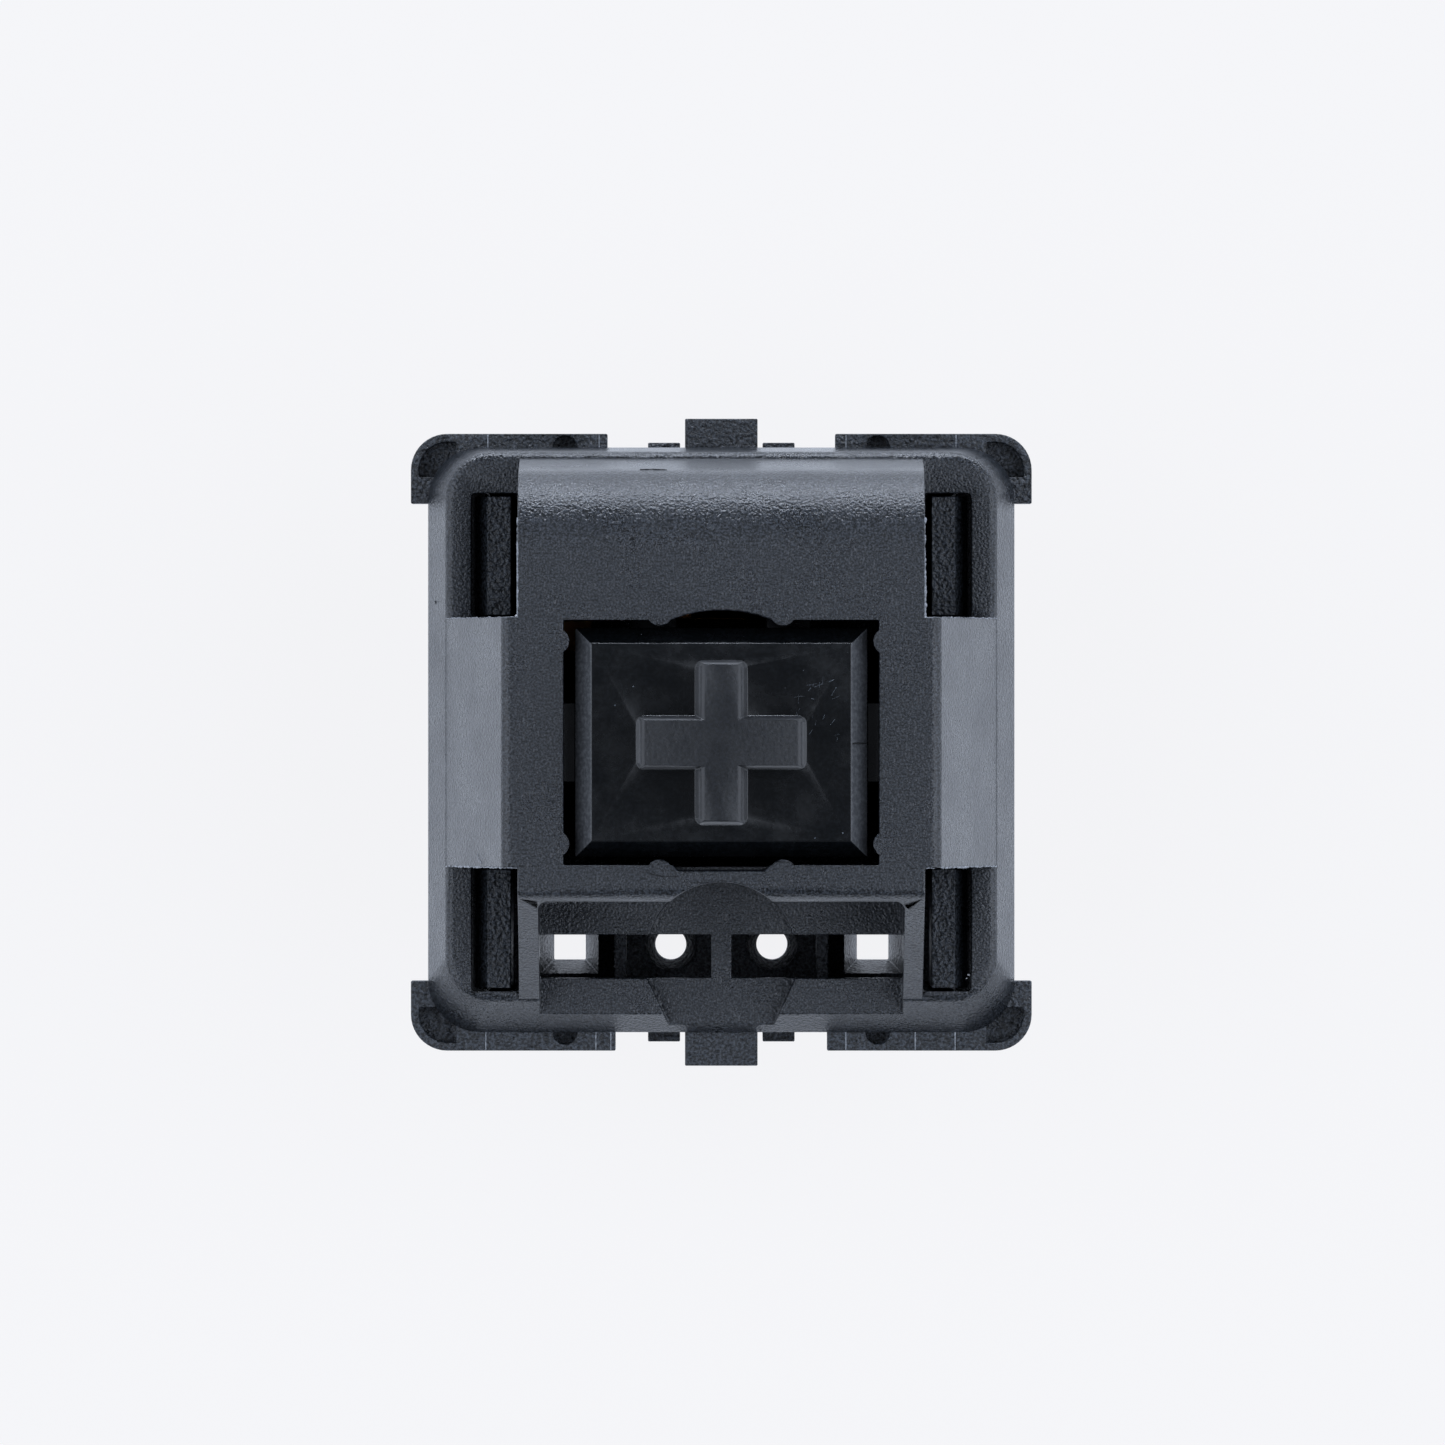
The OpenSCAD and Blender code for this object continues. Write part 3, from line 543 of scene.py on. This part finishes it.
@dataclass
class ReturnSpring:
    """The spring: one helix of round wire with a closed turn at each end."""

    finishes: Finishes
    turns: float = 12.0
    coil_r_mm: float = 1.95
    wire_r_mm: float = 0.12
    rings: int = 576
    sides: int = 12

    def tree(self) -> bpy.types.NodeTree:
        """Builds the helix's node tree.

        Returns:
            A geometry node tree with named inputs for the helix's sizes.
        """
        tree = bpy.data.node_groups.new("wire_helix", "GeometryNodeTree")
        sizes = {"Turns": self.turns, "Coil Radius": self.coil_r_mm * MM, "Wire Radius": self.wire_r_mm * MM,
                 "Bottom": 0.0, "Top": 1.0}
        for name, value in sizes.items():
            socket = tree.interface.new_socket(name, in_out="INPUT", socket_type="NodeSocketFloat")
            socket.default_value = value
        for name, value in {"Rings": self.rings, "Sides": self.sides}.items():
            socket = tree.interface.new_socket(name, in_out="INPUT", socket_type="NodeSocketInt")
            socket.default_value = value
        tree.interface.new_socket("Wire Finish", in_out="INPUT", socket_type="NodeSocketMaterial")
        tree.interface.new_socket("Geometry", in_out="OUTPUT", socket_type="NodeSocketGeometry")
        given = add(tree, "NodeGroupInput").outputs

        def sum_of(a: object, b: object, operation: str = "ADD") -> bpy.types.NodeSocket:
            """Gives the result of one sum on two values or sockets."""
            return add(tree, "ShaderNodeMath", {0: a, 1: b}, operation=operation).outputs[0]

        def stage_of(turn: bpy.types.NodeSocket, start: object, end: object,
                     rise: object) -> bpy.types.NodeSocket:
            """Gives the height gained between two turns."""
            return add(tree, "ShaderNodeMapRange", {0: turn, 1: start, 2: end, 3: 0.0, 4: rise}).outputs[0]

        wire = sum_of(given["Wire Radius"], 2.0, "MULTIPLY")
        last = sum_of(given["Turns"], 1.0, "SUBTRACT")
        share = sum_of(add(tree, "GeometryNodeInputIndex").outputs[0],
                       sum_of(given["Rings"], 1.0, "SUBTRACT"), "DIVIDE")
        turn = sum_of(share, given["Turns"], "MULTIPLY")
        free = sum_of(sum_of(sum_of(given["Top"], given["Bottom"], "SUBTRACT"), wire, "SUBTRACT"),
                      sum_of(wire, 2.0, "MULTIPLY"), "SUBTRACT")
        height = sum_of(given["Bottom"], given["Wire Radius"])
        for start, end, rise in ((0.0, 1.0, wire), (1.0, last, free), (last, given["Turns"], wire)):
            height = sum_of(height, stage_of(turn, start, end, rise))
        angle = sum_of(turn, 2 * math.pi, "MULTIPLY")
        spot = add(tree, "ShaderNodeCombineXYZ", {
            0: sum_of(sum_of(angle, 0.0, "COSINE"), given["Coil Radius"], "MULTIPLY"),
            1: sum_of(sum_of(angle, 0.0, "SINE"), given["Coil Radius"], "MULTIPLY"),
            2: height,
        })
        line = add(tree, "GeometryNodeMeshLine", {"Count": given["Rings"]})
        curve = add(tree, "GeometryNodeMeshToCurve", {"Mesh": line.outputs["Mesh"]})
        helix = add(tree, "GeometryNodeSetPosition", {"Geometry": curve.outputs["Curve"],
                                                      "Position": spot.outputs["Vector"]})
        outline = add(tree, "GeometryNodeCurvePrimitiveCircle", {"Resolution": given["Sides"],
                                                                 "Radius": given["Wire Radius"]})
        tube = add(tree, "GeometryNodeCurveToMesh", {"Curve": helix.outputs["Geometry"],
                                                     "Profile Curve": outline.outputs["Curve"],
                                                     "Fill Caps": True})
        smooth = add(tree, "GeometryNodeSetShadeSmooth", {"Geometry": tube.outputs["Mesh"]})
        real = add(tree, "GeometryNodeRealizeInstances", {"Geometry": smooth.outputs["Geometry"]})
        dressed = add(tree, "GeometryNodeSetMaterial", {"Geometry": real.outputs["Geometry"],
                                                        "Material": given["Wire Finish"]})
        add(tree, "NodeGroupOutput", {"Geometry": dressed.outputs["Geometry"]})
        return tree

    def build(self) -> bpy.types.Object:
        """Makes the spring between the two heights of its CAD node.

        Returns:
            The finished spring, riding on the housing.
        """
        low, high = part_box("return_spring")
        piece = bpy.data.objects.new("return_spring_wire", bpy.data.meshes.new("return_spring_wire"))
        bpy.context.scene.collection.objects.link(piece)
        helix = piece.modifiers.new("helix", "NODES")
        helix.node_group = self.tree()
        wanted = {"Bottom": low.z, "Top": high.z, "Wire Finish": self.finishes[Slot.SPRING]}
        for item in helix.node_group.interface.items_tree:
            if item.item_type == "SOCKET" and item.in_out == "INPUT" and item.name in wanted:
                helix[item.identifier] = wanted[item.name]
        settle(piece)
        piece.data.materials.clear()
        piece.data.materials.append(self.finishes[Slot.SPRING])
        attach(piece, Body.HOUSING.value)
        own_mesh(piece)
        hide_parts("return_spring")
        LOG.info("%s: %d faces", piece.name, len(piece.data.polygons))
        return piece


@dataclass
class Contacts:
    """The stamped terminals, the leaf and their welded points."""

    finishes: Finishes
    parts: dict[str, tuple[Body, Slot, float]] = field(default_factory=lambda: {
        "fixed_terminal": (Body.HOUSING, Slot.TERMINAL, 0.035),
        "leaf_terminal": (Body.HOUSING, Slot.TERMINAL, 0.035),
        "contact_leaf": (Body.LEAF, Slot.LEAF, 0.015),
        "fixed_contact_point": (Body.HOUSING, Slot.POINT, 0.02),
        "leaf_contact_point": (Body.LEAF, Slot.POINT, 0.02),
    })

    def build(self, nodes: dict[str, bpy.types.Object]) -> None:
        """Makes each metal piece as a soft-edged copy of its node.

        Args:
            nodes: The CAD nodes by name.
        """
        for node, (body, slot, edge) in self.parts.items():
            Moulding(node, body, slot, edge, self.finishes).build(nodes)


@dataclass(frozen=True)
class Stroke:
    """One fine mark: a line of flash, a witness line, a scratch, a speck or a thread of painted shade."""

    # Its corners in millimetres, from one end to the other
    path: tuple[tuple[float, float, float], ...]
    radius_mm: float = 0.012
    # How far it wanders to the sides, and how unevenly thick it is from 0 to 1
    wander_mm: float = 0.0
    uneven: float = 0.3


@dataclass
class MarkSet:
    """All marks of one finish on one body, swept along their paths by one node tree."""

    name: str
    body: Body
    material: bpy.types.Material
    strokes: tuple[Stroke, ...]
    seed: float = 1.0
    # The spacing of a thread's rings, the length of its wanderings and how many sides it has
    step_mm: float = 0.02
    wave_mm: float = 0.12
    sides: int = 5

    def tree(self) -> bpy.types.NodeTree:
        """Builds the node tree that turns lines into uneven threads.

        Returns:
            A geometry node tree with named inputs.
        """
        tree = bpy.data.node_groups.new("uneven_threads", "GeometryNodeTree")
        tree.interface.new_socket("Geometry", in_out="INPUT", socket_type="NodeSocketGeometry")
        for name in ("Step", "Wave", "Seed"):
            tree.interface.new_socket(name, in_out="INPUT", socket_type="NodeSocketFloat")
        tree.interface.new_socket("Mark Finish", in_out="INPUT", socket_type="NodeSocketMaterial")
        tree.interface.new_socket("Geometry", in_out="OUTPUT", socket_type="NodeSocketGeometry")
        given = add(tree, "NodeGroupInput").outputs
        radius, wander, uneven = (
            add(tree, "GeometryNodeInputNamedAttribute", {"Name": name}, data_type="FLOAT").outputs[0]
            for name in ("radius_m", "wander_m", "uneven")
        )
        curve = add(tree, "GeometryNodeMeshToCurve", {"Mesh": given["Geometry"]})
        fine = add(tree, "GeometryNodeResampleCurve", {"Curve": curve.outputs["Curve"],
                                                       "Length": given["Step"]}, mode="LENGTH")
        place = add(tree, "GeometryNodeInputPosition").outputs[0]
        scale = add(tree, "ShaderNodeMath", {0: 1.0, 1: given["Wave"]}, operation="DIVIDE").outputs[0]
        noise = add(tree, "ShaderNodeTexNoise", {"Vector": place, "W": given["Seed"], "Scale": scale,
                                                 "Detail": 2.0}, noise_dimensions="4D").outputs
        centred = add(tree, "ShaderNodeVectorMath", {0: noise["Color"], 1: (0.5, 0.5, 0.5)},
                      operation="SUBTRACT")
        offset = add(tree, "ShaderNodeVectorMath", {0: centred.outputs[0], "Scale": wander},
                     operation="SCALE")
        bent = add(tree, "GeometryNodeSetPosition", {"Geometry": fine.outputs["Curve"],
                                                     "Offset": offset.outputs[0]})
        rough = add(tree, "ShaderNodeMapRange", {"Value": noise["Fac"], "From Min": 0.35, "From Max": 0.65,
                                                 "To Min": -1.0, "To Max": 1.0}).outputs[0]
        swing = add(tree, "ShaderNodeMath", {0: rough, 1: uneven, 2: 1.0}, operation="MULTIPLY_ADD")
        thick = add(tree, "ShaderNodeMath", {0: swing.outputs[0], 1: radius},
                    operation="MULTIPLY").outputs[0]
        outline = add(tree, "GeometryNodeCurvePrimitiveCircle", {"Resolution": self.sides, "Radius": 1.0})
        tube = add(tree, "GeometryNodeCurveToMesh", {"Curve": bent.outputs["Geometry"],
                                                     "Profile Curve": outline.outputs["Curve"],
                                                     "Scale": thick, "Fill Caps": True})
        real = add(tree, "GeometryNodeRealizeInstances", {"Geometry": tube.outputs["Mesh"]})
        dressed = add(tree, "GeometryNodeSetMaterial", {"Geometry": real.outputs["Geometry"],
                                                        "Material": given["Mark Finish"]})
        add(tree, "NodeGroupOutput", {"Geometry": dressed.outputs["Geometry"]})
        return tree

    def lines(self) -> bpy.types.Mesh:
        """Makes the mesh of plain lines that the tree sweeps.

        Returns:
            A mesh of edges, with each stroke's sizes on its points.
        """
        points: list[tuple[float, float, float]] = []
        edges: list[tuple[int, int]] = []
        sizes: dict[str, list[float]] = {"radius_m": [], "wander_m": [], "uneven": []}
        for stroke in self.strokes:
            first = len(points)
            points += [tuple(v * MM for v in corner) for corner in stroke.path]
            edges += [(i, i + 1) for i in range(first, len(points) - 1)]
            for _ in stroke.path:
                sizes["radius_m"].append(stroke.radius_mm * MM)
                sizes["wander_m"].append(2 * stroke.wander_mm * MM)
                sizes["uneven"].append(stroke.uneven)
        mesh = bpy.data.meshes.new(self.name)
        mesh.from_pydata(points, edges, [])
        for name, values in sizes.items():
            mesh.attributes.new(name, "FLOAT", "POINT").data.foreach_set("value", values)
        return mesh

    def build(self) -> bpy.types.Object:
        """Makes the marks.

        Returns:
            One plain mesh object that rides on its body.
        """
        piece = bpy.data.objects.new(self.name, self.lines())
        bpy.context.scene.collection.objects.link(piece)
        sweep = piece.modifiers.new("threads", "NODES")
        sweep.node_group = self.tree()
        wanted = {"Step": self.step_mm * MM, "Wave": self.wave_mm * MM, "Seed": self.seed,
                  "Mark Finish": self.material}
        for item in sweep.node_group.interface.items_tree:
            if item.item_type == "SOCKET" and item.in_out == "INPUT" and item.name in wanted:
                sweep[item.identifier] = wanted[item.name]
        settle(piece)
        piece.data.materials.clear()
        piece.data.materials.append(self.material)
        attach(piece, self.body.value)
        LOG.info("%s: %d faces", piece.name, len(piece.data.polygons))
        return piece


@dataclass
class SwitchMarks:
    """The switch's own small marks: witness lines, flash on cut edges, scuffs, a scratch and dust, with
    threads of painted shade and flecks of painted light in a slot.
    """

    finishes: Finishes
    # Levels and edges of the mouldings in millimetres
    rim_z: float = 6.0
    top_z: float = 11.6
    block_x: float = 4.98
    recess_y: float = 3.06
    # How far out and how high the side slopes run, from the flat top down to the skirt
    slope: tuple[tuple[float, float], ...] = (
        (5.0, 11.59),
        (5.2, 11.57),
        (5.38, 11.4),
        (5.9, 9.92),
        (6.8, 7.33),
    )
    # Where the insert's joints crossed the flange's two long sides
    witness_north: tuple[float, ...] = (-5.79, -3.03, 3.09, 5.82)
    witness_south: tuple[float, ...] = (-5.84, -3.11, -2.74, 3.09, 4.81, 5.80)
    witness_r: float = 0.016
    # The flash's thickness on the upright edges, and on the slopes' lower and upper cuts
    edge_r: float = 0.02
    lower_cut_r: float = 0.017
    upper_cut_r: float = 0.009
    # Where the stem is rubbed, and how many strokes it took
    rubbed_x: tuple[float, float] = (1.85, 2.85)
    rubbed_y: tuple[float, float] = (0.0, 1.6)
    scuffs_wanted: int = 26
    scuff_seed: int = 7

    def build(self) -> None:
        """Makes every mark, one mesh for each body and finish."""
        pale, dark, dust = (self.finishes[name] for name in ("flash", "shade", "dust"))
        MarkSet("flange_witness_lines", Body.HOUSING, pale, self.witness_lines(), 1.0).build()
        MarkSet("edge_flash", Body.HOUSING, pale, self.flash(), 2.0).build()
        # Painted shade: near-black threads under the nub, on the shoulder and on the skirt
        MarkSet("painted_mould_shadows", Body.HOUSING, dark, self.shadows(), 3.0).build()
        # Dust on the top, and white flecks that paint the light showing through a slot's gap
        MarkSet("flecks_and_painted_light_leak", Body.HOUSING, dust, self.flecks(), 4.0).build()
        MarkSet("stem_scuffs", Body.PLUNGER, self.finishes["scuff"], self.scuffs(), 5.0).build()
        # Painted shade: a near-black thread for the stem's parting notch
        MarkSet("stem_notch_painted_shade", Body.PLUNGER, dark, self.notch(), 6.0).build()

    def witness_lines(self) -> tuple[Stroke, ...]:
        """Gives the thin raised lines across the flange."""
        z = self.rim_z + 0.002
        north = [Stroke(((x, 7.3, z), (x, 7.63, z)), self.witness_r) for x in self.witness_north]
        south = [Stroke(((x, -7.18, z), (x, -7.63, z)), self.witness_r) for x in self.witness_south]
        return tuple(north + south)

    def flash(self) -> tuple[Stroke, ...]:
        """Gives the ragged, paler edges that the mould left round the recesses."""
        strokes = []
        for side in (-1, 1):
            x = side * (self.block_x + 0.004)
            z = self.top_z - 0.02
            edge = ((x, self.recess_y, z), (x, 4.7, z), (x, 5.5, 11.43))
            strokes.append(Stroke(edge, self.edge_r, wander_mm=0.03, uneven=0.95))
            for y in (-self.recess_y - 0.004, self.recess_y + 0.004):
                run = tuple((side * a, y, z) for a, z in self.slope)
                thickness = self.lower_cut_r if y < 0 else self.upper_cut_r
                strokes.append(Stroke(run, thickness, wander_mm=0.04, uneven=0.95))
        scratch = ((-5.89, -2.98, 9.97), (-5.95, -2.86, 9.8), (-5.99, -2.73, 9.68))
        strokes.append(Stroke(scratch, 0.008, wander_mm=0.01, uneven=0.4))
        return tuple(strokes)

    def shadows(self) -> tuple[Stroke, ...]:
        """Gives the short near-black threads of painted shade under the nub, on the shoulder and on the
        skirt.
        """
        z = self.top_z + 0.001
        under_nub = ((-1.86, -3.16, z), (-1.62, -3.24, z), (-1.35, -3.28, z), (-1.06, -3.28, z))
        on_shoulder = ((-2.0, 6.70, 9.97), (-1.7, 6.71, 9.95), (-1.33, 6.69, 9.99))
        on_skirt = ((-7.08, 3.5, 6.55), (-7.06, 3.44, 6.58))
        return (Stroke(under_nub, 0.012, wander_mm=0.01), Stroke(on_shoulder, 0.014, wander_mm=0.01),
                Stroke(on_skirt, 0.025))

    def flecks(self) -> tuple[Stroke, ...]:
        """Gives the bright flecks: a chip on the top, and two in the south-east slot that paint the light
        showing through its gap.
        """
        chip = ((-5.03, 3.09, 11.6), (-5.0, 3.12, 11.62))
        # Painted light: white flecks where the floor's light shows through the slot's gap
        light_leak_in_slot = (((6.09, -5.74, 7.2), (6.15, -5.76, 7.22)), ((6.05, -5.83, 7.2), (6.08, -5.84, 7.2)))
        return (Stroke(chip, 0.02, uneven=0.5),) + tuple(Stroke(path, 0.018, uneven=0.5) for path in light_leak_in_slot)

    def scuffs(self) -> tuple[Stroke, ...]:
        """Gives the faint strokes and specks on the stem's shoulder."""
        chance = random.Random(self.scuff_seed)
        z = self.top_z + 0.001
        strokes = []
        for _ in range(self.scuffs_wanted):
            x, y = chance.uniform(*self.rubbed_x), chance.uniform(*self.rubbed_y)
            turn, half = chance.gauss(1.1, 0.5), chance.uniform(0.03, 0.14)
            dx, dy = half * math.cos(turn), half * math.sin(turn)
            path = ((x - dx, y - dy, z), (x + dx, y + dy, z))
            strokes.append(Stroke(path, chance.uniform(0.004, 0.009), wander_mm=0.02, uneven=0.6))
        for x, y in ((2.97, -2.22), (2.29, -2.34), (-2.15, 1.36), (-2.6, 0.9)):
            strokes.append(Stroke(((x - 0.02, y, z), (x + 0.02, y + 0.01, z)), 0.022, uneven=0.5))
        return tuple(strokes)

    def notch(self) -> tuple[Stroke, ...]:
        """Gives a near-black thread of painted shade across the bevel on the right, where the parting notch
        is.
        """
        across = ((3.22, -0.02, self.top_z - 0.01), (3.55, -0.02, 11.18))
        return (Stroke(across, 0.02, wander_mm=0.01),)


@dataclass(frozen=True)
class Softbox:
    """One soft lamp, placed by its direction from the switch."""

    name: str
    azimuth_deg: float
    elevation_deg: float
    distance: float
    size: tuple[float, float]
    power: float

    def build(self, colour: str) -> bpy.types.Object:
        """Makes the lamp, facing the switch.

        Args:
            colour: The light's colour.

        Returns:
            The lamp's object.
        """
        lamp = bpy.data.lights.new(self.name, "AREA")
        lamp.color = linear(colour)[:3]
        lamp.shape = "RECTANGLE"
        lamp.size, lamp.size_y = self.size
        lamp.energy = self.power
        holder = bpy.data.objects.new(self.name, lamp)
        turn, rise = math.radians(self.azimuth_deg), math.radians(self.elevation_deg)
        away = Vector((math.cos(turn) * math.cos(rise), math.sin(turn) * math.cos(rise), math.sin(rise)))
        holder.location = away * self.distance
        holder.rotation_euler = away.to_track_quat("Z", "Y").to_euler()
        bpy.context.scene.collection.objects.link(holder)
        return holder


@dataclass
class Studio:
    """The pale floor, the soft lamps and the camera above the switch."""

    camera_x_mm: float = 0.03
    camera_y_mm: float = 0.49
    camera_z_mm: float = 392.0
    # How many of the photograph's pixels show one millimetre at the board's plane
    scale_px: float = 39.70
    frame_px: float = 1445.0
    sensor_mm: float = 36.0
    floor_mm: float = -3.3
    floor_size: float = 3.0
    paper: str = "#f4f4f6"
    shown_light: float = 0.95
    mirrored_light: float = 1.45
    shadow_share: float = 0.07
    world_light: float = 0.15
    # The lamps are a little bluer than the paper
    lamp_colour: str = "#e6efff"
    lamps: tuple[Softbox, ...] = (
        Softbox("softbox_west", 180, 44, 0.45, (0.5, 0.5), 1.65),
        Softbox("softbox_east", 0, 44, 0.45, (0.5, 0.5), 1.9),
        Softbox("strip_north", 90, 3.5, 0.5, (0.6, 0.05), 3.0),
    )

    def build(self) -> None:
        """Makes the whole set."""
        self.floor()
        self.world()
        for lamp in self.lamps:
            lamp.build(self.lamp_colour)
        self.camera()
        bpy.context.scene.view_settings.view_transform = "Standard"

    def camera(self) -> None:
        """Puts the camera straight above the switch, as the photograph has it."""
        lens = bpy.data.cameras.new("camera")
        lens.sensor_width = self.sensor_mm
        lens.lens = self.scale_px * self.camera_z_mm * self.sensor_mm / self.frame_px
        lens.clip_start = 0.01
        lens.clip_end = 20
        holder = bpy.data.objects.new("camera", lens)
        holder.location = (self.camera_x_mm * MM, self.camera_y_mm * MM, self.camera_z_mm * MM)
        bpy.context.scene.collection.objects.link(holder)
        bpy.context.scene.camera = holder

    def floor(self) -> None:
        """Makes the paper floor, which keeps a faint shadow and looks white to the camera."""
        half = self.floor_size / 2
        mesh = bpy.data.meshes.new("paper_floor")
        outline = ((-half, -half), (half, -half), (half, half), (-half, half))
        corners = [(x, y, self.floor_mm * MM) for x, y in outline]
        mesh.from_pydata(corners, [], [(0, 1, 2, 3)])
        floor = bpy.data.objects.new("paper_floor", mesh)
        bpy.context.scene.collection.objects.link(floor)
        mesh.materials.append(self.paper_material())

    def paper_material(self) -> bpy.types.Material:
        """Makes matt white paper.

        Returns:
            A material that lights the switch from below and shows white to the camera.
        """
        material = bpy.data.materials.new("matt_white_paper")
        material.use_nodes = True
        tree = material.node_tree
        tree.nodes.clear()
        path = add(tree, "ShaderNodeLightPath").outputs
        white = linear(self.paper)
        shown = add(tree, "ShaderNodeEmission", {"Color": white, "Strength": self.shown_light})
        dim = tuple(c * self.shadow_share for c in white[:3]) + (1.0,)
        thin = add(tree, "ShaderNodeBsdfDiffuse", {"Color": dim})
        front = add(tree, "ShaderNodeAddShader", {0: shown.outputs[0], 1: thin.outputs[0]})
        plain = add(tree, "ShaderNodeBsdfDiffuse", {"Color": white})
        bright = add(tree, "ShaderNodeEmission", {"Color": linear(self.lamp_colour),
                                                  "Strength": self.mirrored_light})
        others = add(tree, "ShaderNodeMixShader", {0: path["Is Glossy Ray"], 1: plain.outputs[0],
                                                   2: bright.outputs[0]})
        mix = add(tree, "ShaderNodeMixShader", {0: path["Is Camera Ray"], 1: others.outputs[0],
                                                2: front.outputs[0]})
        add(tree, "ShaderNodeOutputMaterial", {"Surface": mix.outputs[0]})
        return material

    def world(self) -> None:
        """Makes a dim even surround that the camera sees as white."""
        world = bpy.data.worlds.new("studio")
        world.use_nodes = True
        tree = world.node_tree
        tree.nodes.clear()
        camera = add(tree, "ShaderNodeLightPath").outputs["Is Camera Ray"]
        dim = add(tree, "ShaderNodeBackground", {"Color": linear(self.lamp_colour),
                                                 "Strength": self.world_light})
        white = add(tree, "ShaderNodeBackground", {"Color": linear(self.paper), "Strength": 1.0})
        mix = add(tree, "ShaderNodeMixShader", {0: camera, 1: dim.outputs[0], 2: white.outputs[0]})
        add(tree, "ShaderNodeOutputWorld", {"Surface": mix.outputs[0]})
        bpy.context.scene.world = world


def main() -> None:
    """Builds the switch's looks round the fixed frame."""
    logging.basicConfig(level=logging.INFO, format="%(name)s: %(message)s")
    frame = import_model()
    Studio().build()
    finishes = Finishes()
    finishes.build()
    nodes = frame["nodes"]
    Moulding("bottom_housing", Body.HOUSING, Slot.LOWER, 0.03, finishes).build(nodes)
    Moulding("top_housing", Body.HOUSING, Slot.UPPER, 0.035, finishes).build(nodes)
    cross = FinishZone(finishes["satin"], low_mm=11.65, high_mm=15.3)
    # The stem's west and east bevels get painted sheen: a grey colour for the side lamps' light
    bevels = FinishZone(finishes["frosted"], low_mm=11.1, high_mm=11.6, least_up=0.3, most_up=0.95,
                        least_side=0.3)
    Moulding("stem", Body.PLUNGER, Slot.STEM, 0.035, finishes, (cross, bevels)).build(nodes)
    ReturnSpring(finishes).build()
    Contacts(finishes).build(nodes)
    SwitchMarks(finishes).build()


if __name__ == "__main__":
    main()
